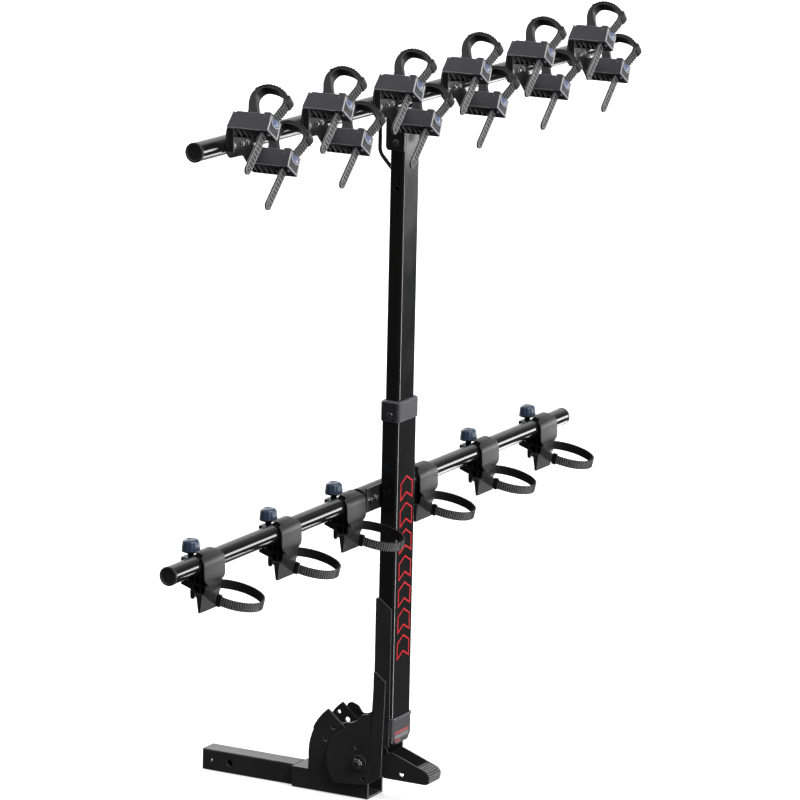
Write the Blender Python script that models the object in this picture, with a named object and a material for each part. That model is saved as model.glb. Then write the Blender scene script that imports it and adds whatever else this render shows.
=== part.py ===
"""A hitch mounted rack that carries six bicycles upright.

X runs along the crossbars, Y points to the car and Z is up. The world origin is the middle of the hitch pin's
hole. Shapes are drawn in the mast's frame: its Y is 0 at the middle of the mast, its Z is 0 at the shank's middle.
"""

import math

import bmesh
import bpy
from mathutils import Matrix, Vector

GAP = 0.0003
BIKES = 6

# Hitch shank
SHANK_SIDE = 0.0508
SHANK_WALL = 0.006
SHANK_END = 0.487
HITCH_PIN_Y = 0.414
HITCH_PIN_RADIUS = 0.008
SMALL_HOLE_Y = 0.463
SMALL_HOLE_RADIUS = 0.003

# Base bracket
BOX_FRONT = 0.241
BOX_REAR = 0.0415
BOX_TOP = 0.0245
BOX_REAR_TOP = 0.0095
BOX_BOTTOM = -0.0247
BOX_HALF = 0.037
BASE_PLATE = 0.006
BASE_SHEET = 0.005
INDEX_FRONT = 0.199
RIM_RADII = (0.1415, 0.1445)
BOSS_RADIUS = 0.030
SPARE_HOLE = (0.1573, 0.1508)
SMALL_BORE = 0.0045

# Tilt pivot and its index holes
PIVOT = (0.0573, 0.0639)
PIVOT_RADIUS = 0.008
INDEX_RADIUS = 0.105
INDEX_FIRST = 1.9
INDEX_STEP = 20.3
INDEX_HOLE = 0.0064
INDEX_STEPS = 3
WASHER_RADIUS = 0.019
WASHER_FACE = 0.0524
NUT_RADIUS = 0.0135
HEAD_RADIUS = 0.014
LOCK_PIN_RADIUS = 0.0055

# Tilt frame
DISC_RADIUS = 0.0845
TILT_INNER = 0.0481
TILT_OUTER = 0.0521
TILT_WEB = (0.0251, 0.0286)
TILT_EDGE = 0.0243
TILT_TOP = 0.285
TILT_HOLES = ((0.0657, 0.0993), (0.0467, 0.0279))

# Foot pedal
PEDAL_AXLE = (0.014, 0.060)
PEDAL_HALF = 0.029
PEDAL_PLATE = 0.004
PEDAL_BOTTOM = 0.030
PEDAL_HOLE = (-0.041, 0.047)
AXLE_RADIUS = 0.005

# Mast
LOWER_MAST = (0.045, 0.022)
LOWER_WALL = 0.0027
LOWER_MAST_Z = (0.120, 0.905)
UPPER_MAST = (0.037, 0.019)
UPPER_WALL = 0.0025
UPPER_MAST_BOTTOM = 0.600
MAST_CORNER = 0.008
MAST_HOLE = (0.0, 1.4024)
MAST_HOLE_RADIUS = 0.0065
CHANNEL_SHEET = 0.0025
CHANNEL_Z = (0.112, 0.4576)
CHANNEL_REAR = -0.0163
COLLAR = (0.0485, 0.0245)
COLLAR_Z = (0.870, 0.918)
COLLAR_BOLT = (-0.0026, 0.8866)
COLLAR_BOLT_HOLE = 0.0033
CUP = (0.0475, 0.0248)
CUP_Z = (0.115, 0.178)
CUP_BEAD = (0.0015, 0.006)
SADDLE_Z = (1.487, 1.598)
HOOP_Z = (1.437, 1.563)
HOOP_REACH = 0.0635
HOOP_RADIUS = 0.0045

# Crossbars and end caps
BAR_HALF = 0.936
BAR_RADIUS = 0.0206
BAR_WALL = 0.0025
CAP_RADIUS = 0.0212
CAP_FLANGE = 0.006
LOWER_BAR = (0.0474, 0.6962)
UPPER_BAR = (-0.003, 1.6051)
SLEEVE_HALF = 0.103
SLEEVE_RADIUS = 0.0247
SLEEVE_PLATE = 0.0045
SLEEVE_PLATE_Z = (0.668, 0.724)
SLEEVE_BOLTS = (-0.088, -0.062, 0.062, 0.088)

# Wheel cradles, where they are set along the lower bar
CRADLE_X = (-0.787, -0.453, -0.157, 0.190, 0.500, 0.809)
CRADLE_BORE = BAR_RADIUS + GAP
CRADLE_HALF = 0.044
NECK_HALF = 0.030
KNOB_FORWARD = 0.0315
KNOB_RADIUS = 0.0203
STRAP_THICKNESS = 0.0035
STRAP_WIDTH = 0.021
RING_RADII = (0.060, 0.067)
RING_CENTRE = (-0.078, -0.063)
RING_DROOP = math.radians(13)

# Handlebar hangers along the upper bar
HANGER_X = -0.771
HANGER_STEP = 0.320
HANGER_RISE = 0.004
HANGER_LEAN = math.radians(45)
BLOCK_SPREAD = 0.0615
BLOCK_HALF = (0.018, 0.0215)
BLOCK_FRONT = -0.0254
BLOCK_REAR = -0.129
HANGER_PLATE = (-0.0285, -0.0244)
STRAP_HALF = 0.013
TAIL_HALF = 0.011
TAIL_LENGTH = 0.100
TAIL_Y = -0.1075
BUTTON_RADIUS = 0.011
BUTTON_LEAN = math.radians(13)


# Mesh tools


def arc(centre, radius, start, end, steps):
    """Points on a circle from one angle to another, in degrees."""
    angles = [math.radians(start + (end - start) * i / steps) for i in range(steps + 1)]
    return [(centre[0] + radius * math.cos(a), centre[1] + radius * math.sin(a)) for a in angles]


def rounded_rectangle(half_width, half_depth, corner, steps=4):
    """A rectangle's outline with round corners, counterclockwise."""
    x = half_width - corner
    y = half_depth - corner
    points = []
    for turn, (cx, cy) in enumerate(((x, y), (-x, y), (-x, -y), (x, -y))):
        points += arc((cx, cy), corner, 90 * turn, 90 * turn + 90, steps)
    return points


def along(axis, a, b, t):
    """A point at t along the axis, with a and b on the other two in XYZ order."""
    return {"X": (t, a, b), "Y": (a, t, b), "Z": (a, b, t)}[axis]


def shape(bm):
    """A working object that holds the mesh."""
    bmesh.ops.recalc_face_normals(bm, faces=bm.faces)
    mesh = bpy.data.meshes.new("shape")
    bm.to_mesh(mesh)
    bm.free()
    obj = bpy.data.objects.new("shape", mesh)
    bpy.context.scene.collection.objects.link(obj)
    return obj


def prism(axis, outline, start, end):
    """A solid with this outline, pushed along the axis."""
    bm = bmesh.new()
    ends = [[bm.verts.new(along(axis, a, b, t)) for a, b in outline] for t in (start, end)]
    for ring in ends:
        bm.faces.new(ring)
    for i in range(len(outline)):
        bm.faces.new((ends[0][i - 1], ends[0][i], ends[1][i], ends[1][i - 1]))
    return shape(bm)


def box(x, y, z):
    return prism("Z", [(x[0], y[0]), (x[1], y[0]), (x[1], y[1]), (x[0], y[1])], *z)


def hollow_prism(axis, outer, inner, start, end):
    """A tube between two outlines that have as many points each."""
    bm = bmesh.new()
    rings = []
    for outline in (outer, inner):
        for t in (start, end):
            rings.append([bm.verts.new(along(axis, a, b, t)) for a, b in outline])
    pairs = ((rings[0], rings[1]), (rings[1], rings[3]), (rings[3], rings[2]), (rings[2], rings[0]))
    for first, second in pairs:
        for i in range(len(outer)):
            bm.faces.new((first[i - 1], first[i], second[i], second[i - 1]))
    return shape(bm)


def turned(axis, profile, sides, centre=(0, 0)):
    """A solid of revolution. The profile's points are (radius, distance along the axis), from pole to pole."""
    bm = bmesh.new()
    rings = []
    for radius, t in profile:
        if radius == 0:
            rings.append([bm.verts.new(along(axis, *centre, t))] * sides)
            continue
        circle = arc(centre, radius, 0, 360 - 360 / sides, sides - 1)
        rings.append([bm.verts.new(along(axis, a, b, t)) for a, b in circle])
    for lower, upper in zip(rings, rings[1:]):
        for i in range(sides):
            corners = [lower[i - 1], lower[i], upper[i], upper[i - 1]]
            bm.faces.new(list(dict.fromkeys(corners)))
    return shape(bm)


def rod(axis, radius, start, end, sides=16, centre=(0, 0)):
    return turned(axis, [(0, start), (radius, start), (radius, end), (0, end)], sides, centre)


def moved(obj, matrix):
    obj.data.transform(matrix)
    return obj


def combined(base, joins=(), cuts=()):
    """The base with the joins added and the cuts taken away, as one plain mesh."""
    for operation, tools in (("UNION", joins), ("DIFFERENCE", cuts)):
        for tool in tools:
            boolean = base.modifiers.new(operation, "BOOLEAN")
            boolean.operation = operation
            boolean.solver = "EXACT"
            boolean.object = tool
    graph = bpy.context.evaluated_depsgraph_get()
    mesh = bpy.data.meshes.new_from_object(base.evaluated_get(graph))
    base.modifiers.clear()
    base.data = mesh
    for tool in (*joins, *cuts):
        bpy.data.objects.remove(tool)
    return base


def material(name, colour, roughness, metallic=0.0):
    made = bpy.data.materials.new(name)
    made.use_nodes = True
    shader = made.node_tree.nodes["Principled BSDF"]
    shader.inputs["Base Color"].default_value = (*colour, 1)
    shader.inputs["Roughness"].default_value = roughness
    shader.inputs["Metallic"].default_value = metallic
    return made


def empty(name, place, parent=None):
    """An unturned empty at this place in the mast's frame."""
    obj = bpy.data.objects.new(name, None)
    bpy.context.scene.collection.objects.link(obj)
    obj["place"] = place
    settle(obj, place, parent)
    return obj


def settle(obj, place, parent):
    obj.parent = parent
    offset = Vector(parent["place"]) if parent else Vector((0, 0, 0))
    obj.location = Vector(place) - offset


def node(name, obj, finish, parent, place=None):
    """Turns a working object, drawn in the mast's frame, into a named piece with its origin at the place."""
    place = Vector(place or parent["place"])
    obj.name = name
    obj.data.name = name
    obj.data.transform(Matrix.Translation(-place))
    dress(obj, finish)
    settle(obj, place, parent)
    return obj


def dress(obj, finish):
    obj.data.materials.clear()
    obj.data.materials.append(finish)
    obj.data.shade_smooth()
    obj.data.set_sharp_from_angle(angle=math.radians(35))


def copy_of(obj, name, parent, place, turn=0.0):
    """Another object with the same mesh."""
    twin = bpy.data.objects.new(name, obj.data)
    bpy.context.scene.collection.objects.link(twin)
    twin.rotation_euler = (0, turn, 0)
    settle(twin, place, parent)
    return twin


# Base: shank, bracket and pivot


def index_hole(number):
    """The middle of an index hole, as Y and Z."""
    angle = math.radians(INDEX_FIRST + INDEX_STEP * number)
    return PIVOT[0] + INDEX_RADIUS * math.cos(angle), PIVOT[1] + INDEX_RADIUS * math.sin(angle)


def hitch_shank(finish, root):
    half = SHANK_SIDE / 2
    outer = rounded_rectangle(half, half, 0.004, 3)
    inner = rounded_rectangle(half - SHANK_WALL, half - SHANK_WALL, 0.002, 3)
    tube = hollow_prism("Y", outer, inner, BOX_FRONT + GAP, SHANK_END)
    pin_hole = rod("X", HITCH_PIN_RADIUS, -SHANK_SIDE, SHANK_SIDE, 20, (HITCH_PIN_Y, 0))
    small_hole = rod("X", SMALL_HOLE_RADIUS, -SHANK_SIDE, SHANK_SIDE, 10, (SMALL_HOLE_Y, 0))
    node("hitch_shank", combined(tube, cuts=[pin_hole, small_hole]), finish, root)


def index_plate_outline():
    """The side of the base bracket, box and index plate in one sheet, as Y and Z."""
    lower_rim = arc(PIVOT, RIM_RADII[0], -4.4, 24.1, 5)
    upper_rim = arc(PIVOT, RIM_RADII[1], 25.5, 50.4, 5)
    boss = arc(PIVOT, BOSS_RADIUS, 60, 200, 9)
    front = [(BOX_REAR, BOX_BOTTOM), (BOX_FRONT, BOX_BOTTOM), (BOX_FRONT, BOX_TOP), (INDEX_FRONT, BOX_TOP)]
    return front + lower_rim + upper_rim + [(0.1053, 0.1385)] + boss + [(BOX_REAR, BOX_REAR_TOP)]


def base_bracket(finish, root):
    inner = BOX_HALF - BASE_PLATE
    outline = index_plate_outline()
    near = prism("X", outline, -BOX_HALF, -inner)
    far = prism("X", outline, inner, BOX_HALF)
    reach = inner + 0.001
    floor = box((-reach, reach), (BOX_REAR, BOX_FRONT), (BOX_BOTTOM, BOX_BOTTOM + BASE_SHEET))
    front = box((-reach, reach), (BOX_FRONT - BASE_SHEET, BOX_FRONT), (BOX_BOTTOM, BOX_TOP))
    top = box((-reach, reach), (INDEX_FRONT, BOX_FRONT), (BOX_TOP - BASE_SHEET, BOX_TOP))
    bosses = [rod("X", WASHER_RADIUS, s * (inner + 0.002), s * (TILT_INNER - GAP), 20, PIVOT) for s in (-1, 1)]
    cuts = [rod("X", PIVOT_RADIUS + GAP, -0.06, 0.06, 16, PIVOT)]
    cuts += [rod("X", INDEX_HOLE, -0.06, 0.06, 12, index_hole(i)) for i in range(INDEX_STEPS)]
    cuts.append(rod("X", SMALL_BORE, 0, 0.06, 10, SPARE_HOLE))
    bracket = combined(near, [far, floor, front, top, *bosses], cuts)
    node("base_bracket", bracket, finish, root)


def pivot_fasteners(finish, root):
    """The pivot bolt with its head on the far side, and the nut and washer on the near side."""
    shaft = rod("X", PIVOT_RADIUS, -0.0665, 0.053, 16, PIVOT)
    head = rod("X", HEAD_RADIUS, WASHER_FACE, 0.0615, 6, PIVOT)
    node("pivot_bolt", combined(shaft, [head]), finish, root)
    washer = rod("X", WASHER_RADIUS, -0.0546, -WASHER_FACE, 20, PIVOT)
    nut = rod("X", NUT_RADIUS, -0.0645, -0.054, 6, PIVOT)
    bore = rod("X", PIVOT_RADIUS + GAP, -0.07, -0.05, 16, PIVOT)
    node("pivot_nut", combined(washer, [nut], [bore]), finish, root)


# Tilting frame: side plates, channel, lock and pedal


def tilt_plate_outline(with_ear):
    """A tilting side plate, as Y and Z: a disc round the pivot that runs up into the mast's channel."""
    disc = arc(PIVOT, DISC_RADIUS, -42, 45 if with_ear else 62, 12)
    ear = [(0.147, 0.158), (0.1445, 0.1685), (0.1356, 0.174), (0.1157, 0.168), (0.1044, 0.151)]
    shoulder = [(0.0898, 0.154), (0.076, 0.157), (0.064, 0.164), (0.0534, 0.179), (0.032, 0.184)]
    front = [(TILT_EDGE, 0.192), (TILT_EDGE, TILT_TOP), (0.0168, TILT_TOP)]
    rear = [(-0.007, 0.2647), (-0.005, 0.200), (-0.002, 0.123), (0.0, 0.045), (0.004, 0.036)]
    bottom = [(0.0345, 0.0149)]
    return disc + (ear if with_ear else []) + shoulder + front + rear + bottom


def tilt_frame(finish, pivot):
    near = prism("X", tilt_plate_outline(False), -TILT_OUTER, -TILT_INNER)
    far = prism("X", tilt_plate_outline(True), TILT_INNER, TILT_OUTER)
    reach = TILT_INNER + 0.001
    web = box((-reach, reach), TILT_WEB, (0.120, 0.180))
    cuts = [rod("X", PIVOT_RADIUS + GAP, -0.06, 0.06, 16, PIVOT)]
    cuts += [rod("X", SMALL_BORE, -0.06, 0.06, 10, place) for place in TILT_HOLES]
    node("tilt_frame", combined(near, [far, web], cuts), finish, pivot)


def mast_channel(finish, pivot):
    """The channel that wraps the front and sides of the mast's lower half."""
    inner = LOWER_MAST[0] + GAP
    outer = inner + CHANNEL_SHEET
    front = TILT_WEB[0] - GAP
    web_rear = LOWER_MAST[1] + GAP
    bottom, top = CHANNEL_Z
    outline = [(CHANNEL_REAR, bottom), (front, bottom), (front, top), (0.013, top), (CHANNEL_REAR, 0.4354)]
    near = prism("X", outline, -outer, -inner)
    far = prism("X", outline, inner, outer)
    web = box((-inner - 0.001, inner + 0.001), (web_rear, front), (bottom, top))
    node("mast_channel", combined(near, [far, web]), finish, pivot)


def lock_arm(finish, pivot):
    """The arm between the index plates that carries the lock pin to their hole circle."""
    tip = index_hole(0)
    root_y = TILT_WEB[1] + GAP
    top = [(0.150, 0.110), (0.135, 0.140), (0.090, 0.150), (0.055, 0.168), (root_y, 0.178)]
    under = [(root_y, 0.135), (0.060, 0.118), (0.110, 0.090)]
    outline = arc(tip, 0.014, -140, 60, 8) + top + under
    plate = prism("X", outline, -0.028, -0.022)
    bore = rod("X", LOCK_PIN_RADIUS + GAP, -0.03, -0.02, 12, tip)
    node("lock_arm", combined(plate, cuts=[bore]), finish, pivot)


def lock_pin(finish, pivot):
    """The pin that locks the mast at an index hole and that the pedal draws back along X. Its tip stops just
    short of the index plate, so that the mast is free to tilt."""
    tip = index_hole(0)
    end = BASE_PLATE - BOX_HALF + GAP
    radius = LOCK_PIN_RADIUS
    profile = [(0, end), (radius - 0.001, end), (radius, end + 0.001), (radius, -0.0207)]
    profile += [(0.009, -0.0207), (0.009, -0.0165), (radius, -0.0165), (radius, -0.008), (0, -0.008)]
    pin = turned("X", profile, 12, tip)
    node("lock_pin", pin, finish, pivot, (0, *tip))


def pedal_outline():
    """The side of the pedal, as Y and Z."""
    heel = arc(PEDAL_AXLE, 0.012, -60, 75, 6)
    tread = [(-0.079, 0.0707), (-0.105, 0.061), (-0.113, 0.052), (-0.111, 0.034), (-0.104, PEDAL_BOTTOM)]
    return heel + [(0.0, 0.088), (-0.013, 0.0945)] + tread + [(0.008, PEDAL_BOTTOM)]


def foot_pedal(finish, pivot):
    inner = PEDAL_HALF - PEDAL_PLATE
    outline = pedal_outline()
    near = prism("X", outline, -PEDAL_HALF, -inner)
    far = prism("X", outline, inner, PEDAL_HALF)
    outside = [(-0.079, 0.0707), (-0.105, 0.061), (-0.113, 0.052), (-0.111, 0.034)]
    inside = [(-0.107, 0.034), (-0.109, 0.0515), (-0.103, 0.0575), (-0.079, 0.0665)]
    tread = prism("X", outside + inside, -inner - 0.001, inner + 0.001)
    cuts = [rod("X", AXLE_RADIUS + GAP, -0.04, 0.04, 12, PEDAL_AXLE), rod("X", 0.006, -0.04, 0.04, 12, PEDAL_HOLE)]
    pedal = combined(near, [far, tread], cuts)
    node("foot_pedal", pedal, finish, pivot, (0, *PEDAL_AXLE))


def pedal_axle(finish, pivot):
    half = TILT_INNER - GAP
    node("pedal_axle", rod("X", AXLE_RADIUS, -half, half, 12, PEDAL_AXLE), finish, pivot)


def mast_cup(finish, pivot):
    """The plastic shoe round the rear of the mast's foot, with a bead along its top edge."""
    bottom, top = CUP_Z
    half, rear = CUP
    proud, height = CUP_BEAD
    shell = prism("Z", rounded_rectangle(half, rear, 0.010), bottom, top)
    bead = prism("Z", rounded_rectangle(half + proud, rear + proud, 0.011), top - height, top)
    room = (LOWER_MAST[0] + GAP, LOWER_MAST[1] + GAP)
    hollow = prism("Z", rounded_rectangle(*room, MAST_CORNER), LOWER_MAST_Z[0] - GAP, 0.2)
    front = box((-0.06, 0.06), (-0.0166, 0.06), (0.110, 0.2))
    cuts = [hollow, front]
    for side in (-1, 1):
        corner = [(side * 0.060, 0.147), (side * 0.026, 0.115), (side * 0.026, 0.110), (side * 0.060, 0.110)]
        cuts.append(prism("Y", corner, -0.04, 0.04))
    sole = box((-0.034, 0.034), (-0.020, 0.021), (bottom, LOWER_MAST_Z[0] - GAP))
    node("mast_cup", combined(combined(shell, [bead], cuts), [sole]), finish, pivot)


# Mast


def mast_tube(size, wall, z):
    outer = rounded_rectangle(*size, MAST_CORNER)
    inner = rounded_rectangle(size[0] - wall, size[1] - wall, MAST_CORNER - wall)
    return hollow_prism("Z", outer, inner, *z)


def lower_mast(finish, pivot):
    tube = mast_tube(LOWER_MAST, LOWER_WALL, LOWER_MAST_Z)
    hole = rod("X", COLLAR_BOLT_HOLE, -0.05, 0, 10, COLLAR_BOLT)
    node("lower_mast", combined(tube, cuts=[hole]), finish, pivot)


def upper_mast(finish, pivot):
    tube = mast_tube(UPPER_MAST, UPPER_WALL, (UPPER_MAST_BOTTOM, UPPER_BAR[1] - BAR_RADIUS - GAP))
    hole = rod("X", MAST_HOLE_RADIUS, -0.05, 0.05, 12, MAST_HOLE)
    node("upper_mast", combined(tube, cuts=[hole]), finish, pivot)


def mast_collar(finish, pivot):
    body = prism("Z", rounded_rectangle(*COLLAR, 0.009), *COLLAR_Z)
    room = rounded_rectangle(LOWER_MAST[0] + GAP, LOWER_MAST[1] + GAP, MAST_CORNER)
    socket = prism("Z", room, COLLAR_Z[0] - 0.01, LOWER_MAST_Z[1] + GAP)
    throat = prism("Z", rounded_rectangle(UPPER_MAST[0] + GAP, UPPER_MAST[1] + GAP, MAST_CORNER), 0.85, 0.95)
    hole = rod("X", COLLAR_BOLT_HOLE, -0.06, 0, 10, COLLAR_BOLT)
    node("mast_collar", combined(body, cuts=[socket, throat, hole]), finish, pivot)


def collar_bolt(finish, pivot):
    head = COLLAR[0] + GAP
    profile = [(0, -head - 0.004), (0.0055, -head - 0.004), (0.0055, -head)]
    profile += [(0.003, -head), (0.003, -0.0395), (0, -0.0395)]
    node("collar_bolt", turned("X", profile, 12, COLLAR_BOLT), finish, pivot)


# Crossbars


def crossbar(name, centre, finish, parent):
    end = BAR_HALF - CAP_FLANGE - GAP
    outer = arc(centre, BAR_RADIUS, 0, 345, 23)
    inner = arc(centre, BAR_RADIUS - BAR_WALL, 0, 345, 23)
    node(name, hollow_prism("X", outer, inner, -end, end), finish, parent)


def end_caps(name, centre, finish, parent):
    """A cap at each end of a bar, with a plug inside the tube."""
    plug = BAR_RADIUS - BAR_WALL - GAP
    lip = BAR_HALF - CAP_FLANGE
    face = BAR_HALF
    for side, label in ((-1, "left"), (1, "right")):
        profile = [(0, lip - 0.022), (plug, lip - 0.022), (plug, lip), (CAP_RADIUS, lip)]
        profile += [(CAP_RADIUS, face - 0.0015), (CAP_RADIUS - 0.0015, face), (0.019, face)]
        profile += [(0.018, face - 0.001), (0, face - 0.001)]
        cap = turned("X", [(r, side * t) for r, t in profile], 20, centre)
        node(f"{name}_{label}", cap, finish, parent)


def lower_bar_bracket(finish, pivot):
    """The sleeve that clamps the lower bar, welded to a plate on the front of the mast."""
    sleeve = rod("X", SLEEVE_RADIUS, -SLEEVE_HALF, SLEEVE_HALF, 24, LOWER_BAR)
    rear = LOWER_MAST[1] + GAP
    plate = box((-SLEEVE_HALF, SLEEVE_HALF), (rear, rear + SLEEVE_PLATE), SLEEVE_PLATE_Z)
    heads = []
    for x in SLEEVE_BOLTS:
        heads.append(rod("Y", 0.007, rear - 0.006, rear + 0.001, 6, (x, 0.696)))
    bore = rod("X", BAR_RADIUS + GAP, -0.2, 0.2, 24, LOWER_BAR)
    node("lower_bar_bracket", combined(sleeve, [plate, *heads], [bore]), finish, pivot)


def upper_bar_saddle(finish, pivot):
    """The bent plate that holds the upper bar on the mast's top."""
    inner = UPPER_MAST[0] + GAP
    outer = inner + 0.003
    rear, front = -UPPER_MAST[1], 0.028
    bottom, top = SADDLE_Z
    outline = [(rear, bottom), (0.023, bottom), (front, 1.494), (front, top), (rear, top)]
    near = prism("X", outline, -outer, -inner)
    far = prism("X", outline, inner, outer)
    web = box((-inner - 0.001, inner + 0.001), (UPPER_MAST[1] + GAP, 0.0225), (bottom, 1.575))
    bar = rod("X", BAR_RADIUS + GAP, -0.1, 0.1, 24, UPPER_BAR)
    bolt = rod("X", 0.006, -outer - 0.004, -outer + 0.001, 8, (0.0015, 1.505))
    node("upper_bar_saddle", combined(near, [far, web, bolt], [bar]), finish, pivot)


def cable_hoop(finish, pivot):
    """A bent rod on the car's side of the mast, from the mast's face up to the saddle's web."""
    lower, upper = HOOP_Z
    reach = HOOP_REACH
    corners = [(UPPER_MAST[1] + GAP, lower), (0.030, lower), (reach, lower + 0.036)]
    corners += [(reach, upper - 0.018), (0.045, upper), (0.0225 + GAP, upper)]
    curve = bpy.data.curves.new("cable_hoop", "CURVE")
    curve.dimensions = "3D"
    curve.bevel_depth = HOOP_RADIUS
    curve.bevel_resolution = 2
    curve.use_fill_caps = True
    points = rounded_path(corners, 0.010, 3)
    spline = curve.splines.new("POLY")
    spline.points.add(len(points) - 1)
    for point, (y, z) in zip(spline.points, points):
        point.co = (0, y - pivot["place"][1], z - pivot["place"][2], 1)
    hoop = bpy.data.objects.new("cable_hoop", curve)
    bpy.context.scene.collection.objects.link(hoop)
    curve.materials.append(finish)
    settle(hoop, pivot["place"], pivot)


def rounded_path(corners, trim, steps):
    """The corners of a bent rod, each swapped for a short curve that starts this far from it."""
    path = [corners[0]]
    for before, corner, after in zip(corners, corners[1:], corners[2:]):
        corner = Vector(corner)
        start = corner + (Vector(before) - corner).normalized() * trim
        end = corner + (Vector(after) - corner).normalized() * trim
        for i in range(steps + 1):
            t = i / steps
            path.append(tuple(start * (1 - t) ** 2 + corner * 2 * t * (1 - t) + end * t**2))
    return path + [corners[-1]]


# Wheel cradles on the lower bar


def cradle_shape():
    """The cradle round the bar, drawn with the bar's middle at the origin, as Y and Z."""
    wide_outer = arc((0, 0), 0.028, 80, 180, 9)
    wide_inner = arc((0, 0), CRADLE_BORE, 195, 80, 8)
    wide = prism("X", wide_outer + [(-0.0295, -0.038), (-0.0225, -0.038)] + wide_inner, -CRADLE_HALF, CRADLE_HALF)
    crown = arc((0, 0), 0.0275, 88, 180, 7)
    rear = [(-0.029, -0.036), (-0.029, -0.062), (-0.020, -0.066)]
    body = crown + rear + [(-0.004, -0.066), (0.009, -0.062), (0.020, -0.040), (0.0275, -0.012), (0.024, 0.008)]
    neck = prism("X", body, -NECK_HALF, NECK_HALF)
    flap = prism("X", [(0.008, -0.060), (0.043, -0.048), (0.036, -0.036), (0.018, -0.038)], -0.024, 0.024)
    rear_foot = [(-0.0195, -0.060), (-0.016, -0.103), (-0.010, -0.103), (-0.004, -0.060)]
    foot = prism("X", rear_foot, -0.038, 0.038)
    prong = prism("X", [(-0.001, -0.060), (0.007, -0.076), (0.012, -0.073), (0.013, -0.055)], -0.034, 0.034)
    flange = box((-0.016, 0.016), (0.018, 0.049), (-0.010, 0.008))
    bore = rod("X", CRADLE_BORE, -0.05, 0.05, 24)
    thread = rod("Z", 0.0043, -0.02, 0.02, 12, (0, KNOB_FORWARD))
    return combined(neck, [wide, flap, foot, prong, flange], [bore, thread])


def knob_shape():
    """A domed hand knob with its threaded stem, drawn on its own axis with the bar's height at 0."""
    dome = arc((KNOB_RADIUS - 0.010, 0.037), 0.010, 0, 90, 3)
    profile = [(0, -0.016), (0.004, -0.016), (0.004, 0.0083), (0.007, 0.0083), (0.007, 0.0185)]
    profile += [(KNOB_RADIUS - 0.002, 0.0185), (KNOB_RADIUS, 0.021), *dome, (0, 0.0485)]
    return turned("Z", profile, 18)


def ring_strap_shape():
    """The ladder strap's drooping loop, drawn from the bar's middle. Its ends lie along the neck's sides."""
    across, reach = RING_RADII
    steps = 22
    opening = math.pi - math.acos((NECK_HALF + 2 * GAP) / (across - STRAP_THICKNESS))
    sweep = 3 * math.pi - 2 * opening
    outer = []
    inner = []
    for i in range(steps + 1):
        angle = opening + sweep * i / steps
        c, s = math.cos(angle), math.sin(angle)
        outer.append((across * c, reach * s))
        inner.append(((across - STRAP_THICKNESS) * c, (reach - STRAP_THICKNESS) * s))
    band = prism("Z", outer + inner[::-1], -STRAP_WIDTH / 2, STRAP_WIDTH / 2)
    return moved(band, Matrix.Translation((0, *RING_CENTRE)) @ Matrix.Rotation(RING_DROOP, 4, "X"))


def wheel_cradles(plastic, blue, rubber, pivot):
    cradle = knob = strap = None
    for number, x in enumerate(CRADLE_X, 1):
        middle = (x, *LOWER_BAR)
        axis = (x, LOWER_BAR[0] + KNOB_FORWARD, LOWER_BAR[1])
        if number == 1:
            cradle, knob, strap = cradle_shape(), knob_shape(), ring_strap_shape()
            for obj, finish in ((cradle, plastic), (knob, blue), (strap, rubber)):
                dress(obj, finish)
        copy_of(cradle, f"wheel_cradle_{number}", pivot, middle)
        copy_of(knob, f"cradle_knob_{number}", pivot, axis)
        copy_of(strap, f"wheel_strap_{number}", pivot, middle)
    for obj in (cradle, knob, strap):
        bpy.data.objects.remove(obj)


# Handlebar hangers on the upper bar


def leaned(x, z):
    """A place beside the hanger's middle, as seen in the hanger's own leaning frame."""
    c, s = math.cos(HANGER_LEAN), math.sin(HANGER_LEAN)
    return c * x - s * z, s * x + c * z


def button_place(centre):
    """The middle of a ratchet button's face and the way it is pushed, in the hanger's frame."""
    tilt = BUTTON_LEAN
    face = Vector((centre, BLOCK_REAR + 0.008, 0.0135))
    inward = Vector((0, math.cos(tilt), -math.sin(tilt)))
    return face, inward


def button_frame(centre):
    """Puts a shape that was drawn along Z, with its face at 0, on the button's axis."""
    face, inward = button_place(centre)
    return Matrix.Translation(face) @ inward.to_track_quat("-Z", "Y").to_matrix().to_4x4()


def hanger_plate():
    """The bent steel plate behind the bar, drawn in the hanger's frame with its bolt heads."""
    corners = [(-0.0714, 0.041), (-0.0714, -0.014), (-0.057, -0.028), (-0.002, -0.029), (0.0156, -0.046)]
    corners += [(0.041, -0.0714), (0.0714, -0.041), (0.046, -0.0156), (-0.0156, 0.046), (-0.041, 0.0714)]
    rear, front = HANGER_PLATE
    plate = prism("Y", [leaned(x, z) for x, z in corners], rear, front)
    edge = [(-0.0714, 0.041), (-0.0714, -0.014), (-0.0679, -0.014), (-0.0679, 0.041)]
    flange = prism("Y", [leaned(x, z) for x, z in edge], -0.044, front)
    joins = [flange]
    for x in (-0.0457, -0.0083, 0.0127):
        joins.append(rod("Y", 0.0055, rear - 0.004, rear + 0.001, 6, leaned(x, -0.004)))
    return combined(plate, joins)


def cradle_block(centre):
    """A handlebar rest with its ratchet housing, as Y and height in the hanger's frame."""
    low, high = -BLOCK_HALF[1], BLOCK_HALF[1]
    start = BLOCK_FRONT
    housing = [(BLOCK_REAR, low), (BLOCK_REAR + 0.010, high + 0.005), (BLOCK_REAR + 0.026, high + 0.005)]
    outline = [(start, low), (start, high - 0.004), (start - 0.005, high), (-0.100, high)] + housing[::-1]
    return prism("X", outline, centre - BLOCK_HALF[0], centre + BLOCK_HALF[0])


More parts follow.
